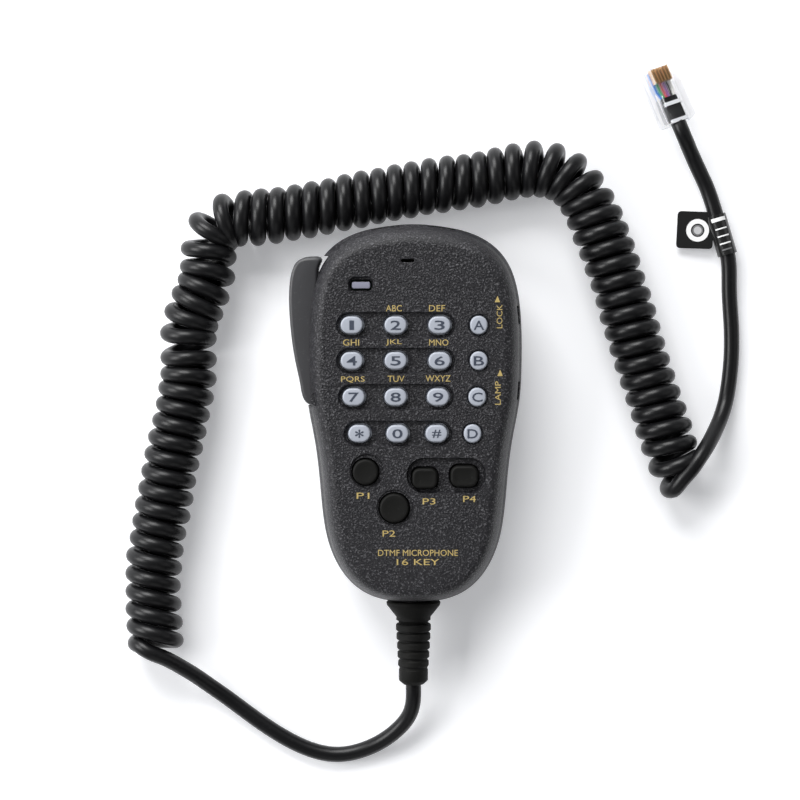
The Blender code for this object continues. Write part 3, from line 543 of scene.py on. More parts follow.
SIGN_SIZES = {"*": (2.4, 2.4), "#": (2.6, 2.3), "1": (1.3, 2.6)}
for (row_y, key_xs), names in zip(KEY_ROWS, KEY_NAMES):
    for key_x, sign in zip(key_xs, names):
        name = f"key_{WORDS.get(sign, sign)}"
        size = LETTER_KEY_SIZE if sign in "abcd" else KEY_SIZE
        sign_size = SIGN_SIZES.get(sign, (2.9, 2.6))
        ink = lettering(sign.upper(), key_x, row_y, *sign_size, KEY_TOP - 0.05, KEY_TOP + 0.1, 1, weight=0.01)
        surfaces = [cap(key_x, row_y, size, KEY_TOP, 0.5, 0.05), ink]
        make_piece(f"{name}_cap", surfaces, [KEY_RUBBER, KEY_INK], body=name, stands_for=[name])

# ---------------------------------------------------------------- program buttons
# Four black rubber buttons, two round and two oblong, with a matt skin and slightly dished tops.

BLACK_RUBBER = finish("black_rubber", (0.0065, 0.0065, 0.006), 0.6, 0.3, 0.02, 0.3, 0.02, Specular_IOR_Level=0.16)
BUTTON_TOP = FACE_Z + 1.0
for name, (x, y, width, height, radius) in PROGRAM_BUTTONS.items():
    surfaces = [cap(x, y, (width, height), BUTTON_TOP, 0.6, -0.18, radius)]
    make_piece(f"{name}_cap", surfaces, [BLACK_RUBBER], body=name, stands_for=[name])

# ---------------------------------------------------------------- printed legends
# Gold pad-printed letters over the keys, the names of the side switches with their arrows, and a plain title.

GOLD_INK = finish("gold_ink", (0.46, 0.35, 0.13), 0.45, 0.2, 0.004, 0.4)
INK = (FACE_Z - 0.03, FACE_Z + 0.04)
LEGENDS = [
    ("ABC", -5.6, 30.6, 4.5), ("DEF", 6.5, 30.6, 4.5), ("GHI", -17.6, 21.0, 4.5), ("JKL", -5.6, 21.0, 4.5),
    ("MNO", 7.0, 21.0, 5.4), ("PQRS", -17.1, 10.6, 6.6), ("TUV", -5.0, 10.8, 4.7), ("WXYZ", 6.8, 10.9, 7.0),
    ("P1", -14.3, -22.2, 3.6), ("P2", -7.0, -32.9, 3.6), ("P3", 4.3, -23.8, 3.6), ("P4", 15.7, -23.1, 3.6),
    ("DTMF MICROPHONE", 1.2, -38.4, 22.5), ("16 KEY", 1.2, -41.0, 12.0),
]
LEGEND_HEIGHT = 1.75
legends = [lettering(text, x, y, width, LEGEND_HEIGHT, *INK) for text, x, y, width in LEGENDS]
legends.append(lettering("LOCK", 24.0, 28.3, 6.6, 1.6, *INK, turn=math.pi / 2))
legends.append(lettering("LAMP", 23.6, 6.8, 6.6, 1.6, *INK, turn=math.pi / 2))
for arrow_x, arrow_y in [(23.4, 33.2), (24.2, 12.5)]:
    triangle = np.array([(-0.75, -0.9), (0.75, -0.9), (0, 0.9)]) + (arrow_x, arrow_y)
    legends.append(lofted([level(triangle, INK[0]), level(triangle, INK[1])]))
make_piece("printed_legends", legends, [GOLD_INK])

# ---------------------------------------------------------------- status lens
# A clouded light bar that sits at the bottom of its dish.

LENS_PLASTIC = finish("lens_plastic", (0.24, 0.245, 0.31), 0.3, 0.3, 0.004, 0.1)
lens_sides = [(0, 24.7), (0, 26.2), (0.15, 26.36), (0.4, 26.4)]
lens = lofted([level(inset_line(rounded(*LENS_CENTRE, 5.1, 1.85, 0.5), inset), z) for inset, z in lens_sides])
make_piece("status_lens", [lens], [LENS_PLASTIC], stands_for=["led_lens"])

# ---------------------------------------------------------------- push-to-talk bar
# The long talk lever down the left side, moulded smoother than the case, which turns on a steel pin at its foot.

BAR_PLASTIC = finish("bar_plastic", (0.04, 0.04, 0.043), 0.42, 0.3, 0.02, 0.25, 0.05)
PTT_LINE = [
    (-24.9, 4.6), (-25.3, 8), (-26.8, 11), (-27.2, 14), (-27.2, 24), (-27.2, 34), (-27.1, 39.5),
    (-26.9, 41.8), (-26.3, 43.2), (-26.2, 44.1), (-27, 44.7), (-28.5, 44.8), (-30.8, 44.6), (-32.8, 43.7),
    (-34.3, 41.2), (-35.1, 37), (-35.2, 29.9), (-34.6, 22.2), (-33.5, 15.1), (-32.1, 8.3), (-30.4, 3.6),
    (-28.4, 2.7), (-26.4, 2.8),
]
ptt_line = even_line(PTT_LINE, 0.7, closed=True)
PTT_Z = (7.0, 21.0)
BAR_EDGE = 1.0
quarter = np.linspace(0, np.pi / 2, 6)
bar_profile = [(BAR_EDGE * (1 - math.sin(a)), PTT_Z[0] + BAR_EDGE * (1 - math.cos(a))) for a in quarter]
bar_profile += [(BAR_EDGE * (1 - math.cos(a)), PTT_Z[1] - BAR_EDGE * (1 - math.sin(a))) for a in quarter]
bar_rings = [level(inset_line(ptt_line, inset), z) for inset, z in bar_profile]
talk_bar = make_piece(
    "talk_bar", [lofted(bar_rings)], [BAR_PLASTIC], body="ptt_lever", stands_for=["ptt_lever"]
)
carve(talk_bar, [turned(*PTT_PIVOT, [(PTT_PIN_RADIUS + GAP, 0), (PTT_PIN_RADIUS + GAP, 27)], 24)])

# ---------------------------------------------------------------- side switches and head buttons
# LOCK and LAMP are slide switches whose ribbed knobs show in the right wall. The two channel buttons are
# rubber blocks in the head.

SWITCH_PLASTIC = finish("switch_plastic", (0.035, 0.035, 0.037), 0.45, 0.3, 0.01)
HALF_THROW = 1.0
for name, slider_y in SLIDER_YS.items():
    rest_y = slider_y - HALF_THROW
    knob = [swapped(slab(rest_y, SLIDER_Z, (2.6, 2), 26.4, 28.8), "zxy")]
    knob.append(swapped(slab(rest_y, SLIDER_Z, (4.6, 3.4), 25.4, 26.4), "zxy"))
    for rib in (-1.1, -0.37, 0.37, 1.1):
        knob.append(swapped(slab(rest_y + rib, SLIDER_Z, (0.4, 2), 28.8, 29.2), "zxy"))
    slider = f"{name}_slider"
    piece = make_piece(
        f"{slider}_knob", knob, [SWITCH_PLASTIC], body=slider, stands_for=[slider]
    )
    edge = piece.modifiers.new("edge", "BEVEL")
    edge.width = 0.12 * MM
    edge.segments = 2
for name, button_x in HEAD_BUTTONS.items():
    sections = [(0.9, 48.4), (0.9, 49.2), (0, 49.2), (0, 52.4), (-0.12, 52.7), (-0.4, 52.85), (-0.9, 52.9)]
    button = [level(rounded(button_x, PARTING_Z, 7 + 2 * g, 3.6 + 2 * g, 0.8 + max(g, -0.6)), y) for g, y in sections]
    button = [swapped(lofted(button), "xzy")]
    make_piece(f"{name}_block", button, [BLACK_RUBBER], body=name, stands_for=[name])

# ---------------------------------------------------------------- screws and hanger knob
# Steel self-tapping screws with cross recesses hold the halves together from the back. The hanger knob is a
# turned steel button on a neck, held by one more screw.

STEEL = finish("steel", (0.56, 0.56, 0.57), 0.28, 0.15, 0.004, 0.25, Metallic=1.0)


def cross_screw(name, x, y, profile, size, node):
    """A screw turned about its axis, with a tapering cross cut into its head."""
    screw = make_piece(name, [turned(x, y, profile)], [STEEL], stands_for=[node])
    head = profile[0][1]
    for half in [(size, size / 5), (size / 5, size)]:
        cross = [level(rounded(x, y, 2 * half[0] * s, 2 * half[1] * s, 0.02, 2), z)
                 for s, z in [(1.2, head - 0.3), (0.6, head + size * 0.8)]]
        carve(screw, [lofted(cross)])


for number, (x, y) in enumerate(CASE_SCREWS, 1):
    profile = [(1.6, 7.2), (2.3, 7.4), (2.7, 7.9), (2.7, 8.7), (1.25, 8.7), (1.25, 20.6), (0.6, 21)]
    cross_screw(f"case_screw_{number}_steel", x, y, profile, 1.3, f"case_screw_{number}")
profile = [(1.9, -4.7), (2.6, -4.5), (2.9, -4.1), (2.9, -3.3), (1.6, -3.3), (1.6, 8.2)]
cross_screw("hanger_screw_steel", 0, KNOB_Y, profile, 1.5, "hanger_screw")
knob_profile = [
    (3.2, -3.0), (3.2, -4.7), (3.5, -KNOB_HEIGHT), (5.3, -KNOB_HEIGHT), (5.75, -4.87), (5.95, -4.6), (6, -4.3),
    (6, -2.5), (5.9, -2.1), (5.5, -1.9), (3.8, -1.9), (3.4, -1.6), (3.4, -0.4), (3.3, -GAP), (1.9, -GAP), (1.9, -3.0),
]
knob_rings = [level(round_section(0, KNOB_Y, radius, 72), z) for radius, z in knob_profile]
knob = lofted(knob_rings + knob_rings[:1])
knob = (knob[0], knob[1][:-2], 0)
make_piece("hanger_button", [knob], [STEEL], stands_for=["hanger_knob"])

# ---------------------------------------------------------------- inside pieces
# The board, switches, capsule and screws inside the case keep their plain shapes and get their real finishes, except
# the capsule, which is black rubber so that the sound slot in front of it reads dark: a painted shade.

BOARD_RESIN = finish("board_resin", (0.015, 0.12, 0.05), 0.35, 0.6, 0.004, 0.4)
MAT_SILICONE = finish("mat_silicone", (0.3, 0.32, 0.36), 0.6, 0.4, 0.01)
WHITE_PLASTIC = finish("white_plastic", (0.68, 0.68, 0.65), 0.45, 0.4, 0.006)
CORD_RUBBER = finish("cord_rubber", (0.005, 0.005, 0.0056), 0.34, 0.35, 0.01, 0.35, 0.02, Specular_IOR_Level=0.3)
INSIDE = {
    BOARD_RESIN: ["circuit_board", "head_switch_board"],
    MAT_SILICONE: ["keypad_mat"],
    WHITE_PLASTIC: ["board_socket", "loom_plug", "status_led", "ptt_plunger"],
    CORD_RUBBER: ["inner_lead"],
    SWITCH_PLASTIC: ["ptt_switch"],
    # The capsule's black is painted shade seen through the sound slot.
    BLACK_RUBBER: ["mic_gasket", "mic_capsule"],
    STEEL: [
        "board_screw_1", "board_screw_2", "cable_clamp", "clamp_screw", "lamp_switch", "lock_switch",
        "ptt_pivot_pin", "ptt_spring",
    ],
}
for material, nodes in INSIDE.items():
    for node in nodes:
        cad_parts[node].material_slots[0].material = material

# ---------------------------------------------------------------- strain relief
# The rubber boot that grips the cord: an oval flange against the foot of the case, a taper, and five ribs that
# let it bend.

RIBS = [(-60.9, -62.9, 5.05), (-63.5, -65.5, 4.9), (-66.2, -68.2, 4.75), (-68.8, -70.8, 4.6), (-71.4, -73.3, 4.45)]
boot_profile = [
    (2.4, 2.4, -78.3), (2.4, 2.4, -50.5), (3.8, 3.8, -49.4), (6, 5, -49.4), (6, 5, -50.8), (3.8, 3.8, -50.8),
    (3.8, 3.8, -54.3), (7.5, 5.8, -54.3), (7.8, 6.0, -54.6), (7.7, 6.0, -55.4), (7.2, 5.8, -56.0), (5.4, 5.1, -58.3),
    (4.95, 4.95, -58.8), (4.95, 4.95, -59.7), (4.5, 4.5, -59.95),
]
for start, end, radius in RIBS:
    boot_profile += [(4.05, 4.05, start + 0.12), (radius - 0.25, radius - 0.25, start)]
    boot_profile += [(radius, radius, start - 0.35), (radius, radius, end + 0.35), (radius - 0.25, radius - 0.25, end)]
    boot_profile.append((4.05, 4.05, end - 0.12))
boot_profile += [(4.05, 4.05, -74.0), (4.2, 4.2, -74.2), (4.2, 4.2, -77.2), (4.05, 4.05, -77.5), (3.0, 3.0, -78.45)]
boot_rings = []
for half_width, half_height, y in boot_profile:
    section = round_section(0, 0, 1, 48) * (half_width, half_height) + (0, BOOT_Z)
    boot_rings.append(level(section, y))
boot = lofted(boot_rings + boot_rings[:1])
boot = swapped((boot[0], boot[1][:-2], 0), "xzy")
strain_relief = make_piece("strain_relief", [boot], [BLACK_RUBBER], stands_for=["cord_boot"])

# ---------------------------------------------------------------- plug
# A clear polycarbonate modular plug with six gilt blades, six coloured conductors and the flattened end of the
# cord's jacket inside, held by two pale clamp bars. Its latch is a thin tab under the body.

PLUG_SIZE = (9.65, 18.0, 6.6)
PLUG_REAR = (79.2, 84.4)
PLUG_CORD_Z = 3.5
plug_turn = (
    Matrix.Rotation(math.radians(22.2), 4, "Z") @ Matrix.Rotation(math.radians(-7), 4, "X")
    @ Matrix.Rotation(math.radians(16), 4, "Y")
)
corners = [
    plug_turn @ Vector((x * PLUG_SIZE[0] / 2, y * PLUG_SIZE[1], z * PLUG_SIZE[2]))
    for x in (-1, 1) for y in (0, 1) for z in (0, 1)
]
cord_entry = plug_turn @ Vector((0, 0, PLUG_CORD_Z))
plug_lift = -min(corner.z for corner in corners)
plug_matrix = Matrix.Translation((PLUG_REAR[0] - cord_entry.x, PLUG_REAR[1] - cord_entry.y, plug_lift)) @ plug_turn
on_plug = placed(plug_matrix)

CLEAR_PLASTIC = finish(
    "clear_plastic", (0.98, 0.985, 1.0), 0.06, 0.8, 0.005, 0.02, Transmission_Weight=1.0, IOR=1.3, Alpha=0.42
)
FROSTED_PLASTIC = finish("frosted_plastic", (0.86, 0.87, 0.9), 0.25, 0.8, 0.005, 0.05, Alpha=0.85)
GILT = finish("gilt_contact", (0.72, 0.44, 0.2), 0.38, 0.2, 0.004, Metallic=1.0)


def along_plug(sections, material=0, radius=0.35):
    """A body swept along the plug's y axis: each section is a round-cornered rectangle (x, z, width, height, y)."""
    rings = [level(rounded(x, z, width, height, radius, 4), y) for x, z, width, height, y in sections]
    return swapped(lofted(rings, material), "xzy")


half_height = PLUG_SIZE[2] / 2
body_sections = [
    (0, half_height, 8.8, 5.9, 0.0), (0, half_height, 9.5, 6.5, 0.35), (0, half_height, *PLUG_SIZE[::2], 0.8),
    (0, half_height, *PLUG_SIZE[::2], 13.6), (0, half_height, 9.5, 6.4, 14.2), (0, half_height, 9.4, 6.2, 17.6),
    (0, half_height, 8.9, 5.8, 18.0),
]
plug_shell = make_piece(
    "plug_shell", [along_plug(body_sections)], [CLEAR_PLASTIC], on_plug, stands_for=["plug_body"]
)
BLADE_PITCH = 1.02
BLADE_XS = [(number - 2.5) * BLADE_PITCH for number in range(6)]
slots = [block((x - 0.32, 12.4, 4.4), (x + 0.32, 19, 8)) for x in BLADE_XS]
clamp_pocket = block((-2.7, 5.0, 5.2), (2.7, 8.6, 8))
carve(plug_shell, [*slots, clamp_pocket], place=on_plug)
blades = [block((x - 0.22, 12.6, 3.6), (x + 0.22, 16.9, 5.9)) for x in BLADE_XS]
make_piece("plug_contacts", blades, [GILT], on_plug)
WIRE_COLOURS = {
    "blue": (0.03, 0.16, 0.5), "green": (0.04, 0.32, 0.12), "red": (0.45, 0.03, 0.05), "violet": (0.2, 0.05, 0.25),
    "black": (0.015, 0.015, 0.015), "white": (0.7, 0.7, 0.68),
}
WIRE_WIDTH = 0.86
WIRE_COURSE = [(0.75, 3.5, 7.6), (0.9, 3.4, 8.8), (1, 3.1, 10.2), (1, 3.0, 16.5)]
wires = []
for number, x in enumerate(BLADE_XS):
    sections = [(x * spread, z, WIRE_WIDTH, WIRE_WIDTH, y) for spread, z, y in WIRE_COURSE]
    wires.append(along_plug(sections, number, 0.42))
wire_finishes = [finish(f"{name}_wire", colour, 0.35, 0.4, 0.003) for name, colour in WIRE_COLOURS.items()]
make_piece("plug_conductors", wires, wire_finishes, on_plug)
JACKET_COURSE = [(4.4, 4.0, 0.9), (5.0, 3.4, 1.6), (5.0, 3.2, 5.2), (5.0, 2.4, 6.2), (4.8, 2.4, 8.0)]
jacket_end = along_plug([(0, PLUG_CORD_Z, width, height, y) for width, height, y in JACKET_COURSE])
make_piece("plug_jacket_end", [jacket_end], [CORD_RUBBER], on_plug)
clamp_bars = [
    along_plug([(0, 4.8, 5.2, 1.4, 5.2), (0, 4.9, 5.2, 1.5, 6.3)]),
    along_plug([(0, 5.2, 5.6, 1.0, -0.1), (0, 5.3, 5.6, 1.1, 0.9)]),
]
make_piece("plug_clamp_bars", clamp_bars, [FROSTED_PLASTIC], on_plug)
LATCH_ROOT_Y = 16.8
LATCH_LENGTH = 13.0
latch_ys = np.linspace(0, LATCH_LENGTH, 14)
latch_zs = np.interp(latch_ys, [0, 6.5, LATCH_LENGTH], [-0.7, -1.15, -1.85])
latch_widths = np.interp(latch_ys, [0, 4, 7, LATCH_LENGTH], [3.2, 3.0, 2.4, 2.4])
latch_heights = np.interp(latch_ys, [0, LATCH_LENGTH], [0.8, 0.65])
latch_sections = np.column_stack(
    [np.zeros_like(latch_ys), latch_zs, latch_widths, latch_heights, LATCH_ROOT_Y - latch_ys]
)
latch = along_plug(latch_sections, radius=0.3)
make_piece("latch_tab", [latch], [CLEAR_PLASTIC], on_plug, "plug_latch", ["plug_latch"])

# ---------------------------------------------------------------- tag
# A folded film label round the cord, black with a plain white and grey ring printed on its flag and plain bars on
# the part that is wrapped round the cord.

TAG_CENTRE = Vector((92.25, 52.0, 3.1))
TAG_DIRECTION = Vector((-0.285, 0.958, 0)).normalized()
TAG_LENGTH = 12.0
TAG_RADIUS = 2.9
tag_turn = Matrix.Rotation(math.atan2(-TAG_DIRECTION.x, TAG_DIRECTION.y), 4, "Z")
tag_matrix = Matrix.Translation(TAG_CENTRE) @ tag_turn
on_tag = placed(tag_matrix)
TAG_FILM = finish("tag_film", (0.012, 0.012, 0.012), 0.18, 1.5, 0.02, 0.2, Coat_Weight=0.3)
PRINT_WHITE = finish("print_white", (0.85, 0.85, 0.85), 0.35, 0.4, 0.002, 0.05)
PRINT_GREY = finish("print_grey", (0.16, 0.16, 0.165), 0.35, 0.4, 0.002, 0.05)
PRINT_SILVER = finish("print_silver", (0.5, 0.5, 0.51), 0.3, 0.4, 0.002, 0.05)


def droop(points):
    """Bends flat film down towards the table: its height falls with the square of its distance from the cord."""
    points, faces, material = points
    points = points.copy()
    points[:, 2] += 0.2 - 0.0115 * (points[:, 0] + 2) ** 2
    return points, faces, material


FLAG_SIZE = (10.5, 10.8)
FLAG_TURN = math.radians(-19)
HALF_FILM = 0.12
spin = np.array([[math.cos(FLAG_TURN), -math.sin(FLAG_TURN)], [math.sin(FLAG_TURN), math.cos(FLAG_TURN)]])
flag_middle = np.array([-7.0, 3.6])
flag_line = rounded(0, 0, *FLAG_SIZE, 1.1) @ spin.T
shares = [0.02, 0.25, 0.5, 0.75, 0.92, 1.0]
flag_rings = [level(flag_line * share + flag_middle, HALF_FILM) for share in shares]
flag_rings += [level(flag_line * share + flag_middle, -HALF_FILM) for share in shares[::-1]]


def printed_ring(inner, outer, lift, material):
    """A flat ring of ink on the flag, close to the flag's middle."""
    centre = flag_middle + (0.65, -0.3)
    profile = [(inner, -0.05), (inner, lift), ((inner + outer) / 2, lift), (outer, lift), (outer, -0.05)]
    rings = [level(round_section(*centre, radius, 48), HALF_FILM + z) for radius, z in profile]
    return lofted(rings + rings[:1], material)


prints = [printed_ring(1.95, 3.3, 0.03, 1), printed_ring(1.2, 1.6, 0.03, 2), printed_ring(0.02, 1.15, 0.02, 3)]
flag_surfaces = [droop(surface) for surface in [lofted(flag_rings), *prints]]


def wrap(y_low, y_high, turn_low, turn_high, radius, thick, material, steps=24):
    """A patch of film or ink bent round the cord between two angles."""
    turns = np.radians(np.linspace(turn_low, turn_high, steps))
    arc = np.concatenate([turns, turns[::-1]])
    radii = np.concatenate([np.full(steps, radius + thick), np.full(steps, radius)])
    section = np.column_stack([radii * np.cos(arc), radii * np.sin(arc)])
    return swapped(lofted([level(section, y) for y in np.linspace(y_low, y_high, 4)], material), "xzy")


sleeve = wrap(-TAG_LENGTH / 2, TAG_LENGTH / 2, -170, 178, 2.5, 0.4, 0, 60)
bars = [wrap(4.0, 5.1, 45, 135, TAG_RADIUS, 0.03, 1), wrap(-4.6, -4.2, 60, 120, TAG_RADIUS, 0.03, 2)]
bars += [wrap(y, y + 0.4, 55, 125, TAG_RADIUS, 0.03, 1) for y in (-2.8, -0.6, 1.6)]
cord_label = make_piece(
    "cord_label", flag_surfaces + [sleeve, *bars], [TAG_FILM, PRINT_WHITE, PRINT_GREY, PRINT_SILVER], on_tag,
    stands_for=["cord_tag"],
)

# ---------------------------------------------------------------- cord
# A coiled lead in black polyurethane, one length from the boot to the plug: a free tail, sixty-four left-handed
# turns that lie on the table in a wide arch, and a second tail that runs through the tag up to the plug.

CORD_RADIUS = 2.25
TURN_RADIUS = 5.95
PITCH_PLACES = [0, 30, 60, 90, 125, 240, 306, 315]
PITCHES = [5.2, 5.05, 4.95, 4.8, 4.95, 4.9, 4.95, 5.8]
LEAN_PLACES = [0, 10, 22, 36, 88, 125, 225, 250, 320]
LEANS = [1.3, 0.8, 0.35, -0.75, -0.75, 0, 0, -0.3, -0.4]
FAN = 0.15
OPENING_PLACE = 87.5
OPENING_SIZE = 2.2
OPENING_REACH = 2.6
AXIS_SPACING = 0.25
BEND_REACH = 6.0
RINGS_PER_TURN = 32
START_PHASE = math.radians(38)
END_PHASE = math.radians(145)
MIC_TAIL = [
    (1.2, -87.2, 7.4), (-2.3, -91.9, 5.4), (-7, -95.6, 3.7), (-14, -98.7, 2.5), (-20, -99.6, 2.3),
    (-27, -98.4, 2.3), (-36, -94.2, 2.3), (-45.4, -87.9, 2.4), (-52.2, -82.8, 2.8), (-57.5, -78.9, 4.0),
    (-60.6, -76.5, 5.6), (-63.6, -74.3, 7.8), (-67.3, -71.8, 10.3), (-70.6, -70.0, 12.3), (-74.0, -68.5, 13.1),
]
COIL_AXIS = [
    (-72.3, -67.6), (-72.7, -60), (-73.1, -49), (-72.4, -39.5), (-70.2, -27.5), (-68, -15), (-65.7, -4.4),
    (-63.8, 4.4), (-62.8, 12), (-62.9, 18.5), (-62.8, 23.5), (-61.7, 28.3), (-59.9, 32.7), (-58.2, 37),
    (-57.2, 41.8), (-57, 47.2), (-55.9, 52.2), (-52.2, 55.5), (-46.2, 56.5), (-37.2, 57.4),
    (-23.3, 59.8), (-12.9, 62), (0.6, 64.6), (10, 66.2), (20.5, 67.6), (30.7, 69.9), (37.3, 70.8),
    (42.9, 70.1), (48, 67.4), (51.4, 63.4), (53.9, 58.6), (56.6, 52.1), (61.7, 37.8), (67.4, 18.6),
    (73.4, 0.1), (76.6, -9.8), (78.5, -14.7), (81.1, -19),
]
PLUG_TAIL = [
    (79.7, -19.0, 13.6), (82.1, -16.2, 14.2), (84.0, -13.5, 14.1), (85.8, -11.0, 13.0), (87.5, -8.6, 11.1),
    (89.1, -6.1, 8.8), (90.7, -3.3, 6.4), (92.1, -0.3, 4.5), (93.3, 3.2, 3.1), (94.4, 9.0, 2.4), (95.1, 16.1, 2.3),
    (95.1, 26.0, 2.3), (94.5, 36.5, 2.5),
    *[tuple(TAG_CENTRE + TAG_DIRECTION * TAG_LENGTH * share) for share in (-0.5, 0, 0.5)],
    (87.7, 66.3, 3.0), (85.5, 70.9, 3.5), (83.4, 75.3, 4.3),
]


def slow_change(places, knot_spacing, size, seed):
    """A smooth random curve: seeded random values at even knots along the coil, joined by a spline."""
    draw = np.random.default_rng(seed).uniform(-size, size, int(places[-1] / knot_spacing) + 2)
    line = smooth_line(np.column_stack([np.arange(len(draw)) * knot_spacing, draw]))
    return line(places / knot_spacing)[:, 1]


def coiled_line():
    """The helix: a point turns about the coil's axis while it moves along it. The pitch grows a little where the
    axis bends, so that turns press together inside a bend and fan out outside it, and it opens at one
    place. The turns lean back or forward by the cosine of their phase, and swell a little, along the way."""
    axis = even_line(COIL_AXIS, AXIS_SPACING)
    step = np.linalg.norm(np.gradient(axis, axis=0), axis=1)
    travelled = np.cumsum(step) - step[0]
    heading = np.unwrap(np.arctan2(*np.gradient(axis, axis=0).T[::-1]))
    half_kernel = 80
    kernel = np.exp(-((np.arange(-half_kernel, half_kernel + 1) * AXIS_SPACING / BEND_REACH) ** 2) / 2)
    bend = np.abs(np.gradient(heading)) / step
    bend = np.convolve(np.pad(bend, half_kernel, "edge"), kernel / kernel.sum(), "valid")
    opening = OPENING_SIZE * np.exp(-(((travelled - OPENING_PLACE) / OPENING_REACH) ** 2))
    pitch = np.interp(travelled, PITCH_PLACES, PITCHES) / (1 - FAN * TURN_RADIUS * bend)
    pitch += opening + slow_change(travelled, 9.0, 0.1, 3)
    turns = np.cumsum(step / pitch)
    spare = (START_PHASE - END_PHASE) / (2 * math.pi)
    whole = round(turns[-1] - spare) + spare
    numbers = np.linspace(0, whole, round(whole * RINGS_PER_TURN) + 1)
    places = np.interp(numbers / whole * turns[-1], turns, travelled)
    middle = np.column_stack([np.interp(places, travelled, column) for column in axis.T])
    angle = np.interp(places, travelled, heading)
    left = np.column_stack([-np.sin(angle), np.cos(angle), np.zeros_like(angle)])
    ahead = np.column_stack([np.cos(angle), np.sin(angle), np.zeros_like(angle)])
    phase = (START_PHASE - 2 * math.pi * numbers)[:, None]
    radius = (TURN_RADIUS + slow_change(places, 5.0, 0.14, 11))[:, None]
    outward = np.cos(phase) * left + np.sin(phase) * np.array([0, 0, 1])
    lean = np.interp(places, LEAN_PLACES, LEANS) + slow_change(places, 11.0, 0.25, 8)
    tilt = slow_change(places, 13.0, 0.3, 5)[:, None] * np.sin(phase) + lean[:, None] * np.cos(phase)
    base = level(middle, 0) + np.array([0, 0, 1]) * (radius + CORD_RADIUS)
    return base + radius * outward + tilt * ahead, outward


coil, coil_outward = coiled_line()
mic_start = np.array([on_mic([0, y, z]) / MM for y, z in [(-75.0, BOOT_Z), (-79.0, BOOT_Z), (-82.5, 11.8)]])
plug_end = np.array([on_plug([0, y, z]) / MM for y, z in [(-4, 3.4), (0.2, 3.5)]])


def joined_tail(knots, first, count):
    """The smooth line through a tail's knots and on through the coil's nearest rings, cut off at the coil."""
    line = smooth_line(np.vstack([knots, coil[first][:: RINGS_PER_TURN // 8]]))
    return line(np.linspace(0, len(knots), count, endpoint=False))


TAIL_RINGS = 100
first_tail = joined_tail([*mic_start, *MIC_TAIL], slice(0, RINGS_PER_TURN // 2), TAIL_RINGS)
last_tail = joined_tail([*PLUG_TAIL, *plug_end][::-1], slice(None, -RINGS_PER_TURN // 2, -1), TAIL_RINGS)[::-1]
cord_path = np.vstack([first_tail, coil, last_tail])
up = np.array([0.0, 0.0, 1.0])
reference = np.vstack([np.tile(up, (len(first_tail), 1)), coil_outward, np.tile(up, (len(last_tail), 1))])
blend_kernel = np.hanning(9)[1:-1, None] / np.hanning(9).sum()
for seam in (len(first_tail), len(first_tail) + len(coil)):
    window = np.arange(seam - 5, seam + 5)
    reference[window] = [(reference[i - 3 : i + 4] * blend_kernel).sum(0) for i in window]


def tube(path, radius, reference, sides=18):
    """A round section carried along a path: each ring lies across the path's direction, and the reference, less
    its part along that direction, gives where the ring starts."""
    ahead = np.gradient(path, axis=0)
    ahead /= np.linalg.norm(ahead, axis=1)[:, None]
    across = reference - (reference * ahead).sum(1)[:, None] * ahead
    across /= np.linalg.norm(across, axis=1)[:, None]
    other = np.cross(ahead, across)
    turn = (2 * np.pi * np.arange(sides) / sides)[None, :, None]
    return lofted(path[:, None] + radius * (across[:, None] * np.cos(turn) + other[:, None] * np.sin(turn)))


on_table = placed(Matrix.Identity(4))
coiled_cord = make_piece(
    "coiled_cord", [tube(cord_path, CORD_RADIUS, reference)], [CORD_RUBBER], on_table,
    stands_for=["cord_tail_mic", "cord_coil", "cord_tail_plug"],
)
tuple(on_mic([0, -79.0, BOOT_Z]))
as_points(on_table(cord_path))

# ---------------------------------------------------------------- table, light and camera
# A white sheet with a faint glow of its own, one broad softbox beyond the microphone's head and one from the
# left, two weak ones from the right and the foot, and a long lens that looks straight down.

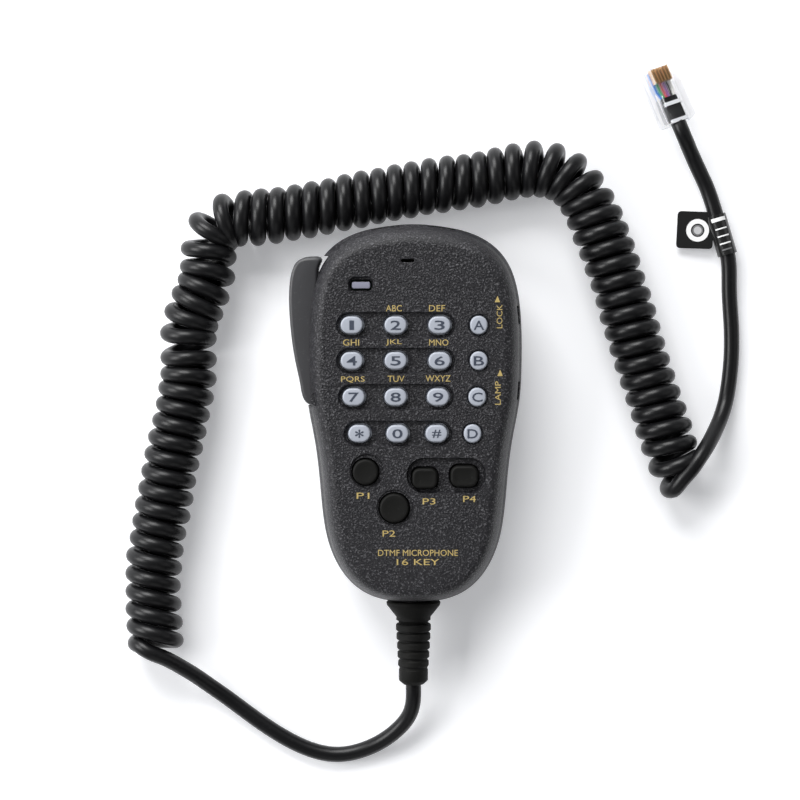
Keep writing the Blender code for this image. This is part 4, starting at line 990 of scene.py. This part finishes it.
PAPER = finish(
    "white_paper", (0.87, 0.875, 0.89), 0.8, 1.0, 0.002, 0.01,
    Emission_Color=(0.96, 0.97, 1, 1), Emission_Strength=0.3,
)
HALF_FLOOR = 1500
floor_ring = HALF_FLOOR * np.array([(-1, -1), (1, -1), (1, 1), (-1, 1)])
floor_mesh = bpy.data.meshes.new("floor")
floor_mesh.from_pydata(on_table(level(floor_ring, -0.02)), [], [(0, 1, 2, 3)])
floor_mesh.materials.append(PAPER)
floor = bpy.data.objects.new("floor", floor_mesh)
bpy.context.scene.collection.objects.link(floor)


def softbox(name, place, size, power):
    """A square area light that faces the microphone."""
    light = bpy.data.lights.new(name, "AREA")
    light.size = size
    light.energy = power
    lamp = bpy.data.objects.new(name, light)
    lamp.location = place
    lamp.rotation_euler = (-Vector(place)).to_track_quat("-Z", "Y").to_euler()
    bpy.context.scene.collection.objects.link(lamp)


softbox("key_light", (-0.5, 1.6, 1.3), 1.2, 46)
softbox("left_light", (-1.7, 0.3, 1.2), 1.1, 30)
softbox("right_light", (1.7, 0.1, 1.2), 1.4, 3)
softbox("foot_light", (0.2, -1.7, 1.2), 1.4, 3)

# The studio's glow is brighter towards the far left, and fades with height.
world = bpy.data.worlds.new("studio")
world.use_nodes = True
sky = world.node_tree
direction = add_node(sky, "TexCoord", {}).outputs["Generated"]
toward = add_node(sky, "VectorMath", {0: direction, 1: (-0.7, 0.5, 0.0)}, operation="DOT_PRODUCT").outputs["Value"]
side = add_node(
    sky, "MapRange", {"Value": toward, "From Min": -0.6, "From Max": 0.7, "To Min": 0.12, "To Max": 1.0}
)
height = add_node(sky, "SeparateXYZ", {0: direction}).outputs["Z"]
fall = add_node(sky, "MapRange", {"Value": height, "From Min": 0.1, "From Max": 0.95, "To Min": 1.0, "To Max": 0.2})
glow = math_node(sky, "MULTIPLY", side.outputs[0], fall.outputs[0])
sky.links.new(glow, sky.nodes["Background"].inputs["Strength"])
sky.nodes["Background"].inputs["Color"].default_value = (0.96, 0.975, 1.0, 1)
bpy.context.scene.world = world
bpy.context.scene.view_settings.view_transform = "Standard"

CAMERA_PLACE = (-0.00158, 0.00387, 0.750)
camera_data = bpy.data.cameras.new("camera")
camera_data.lens = 115.24
camera_data.sensor_width = 36
camera = bpy.data.objects.new("camera", camera_data)
camera.location = CAMERA_PLACE
bpy.context.scene.collection.objects.link(camera)
bpy.context.scene.camera = camera
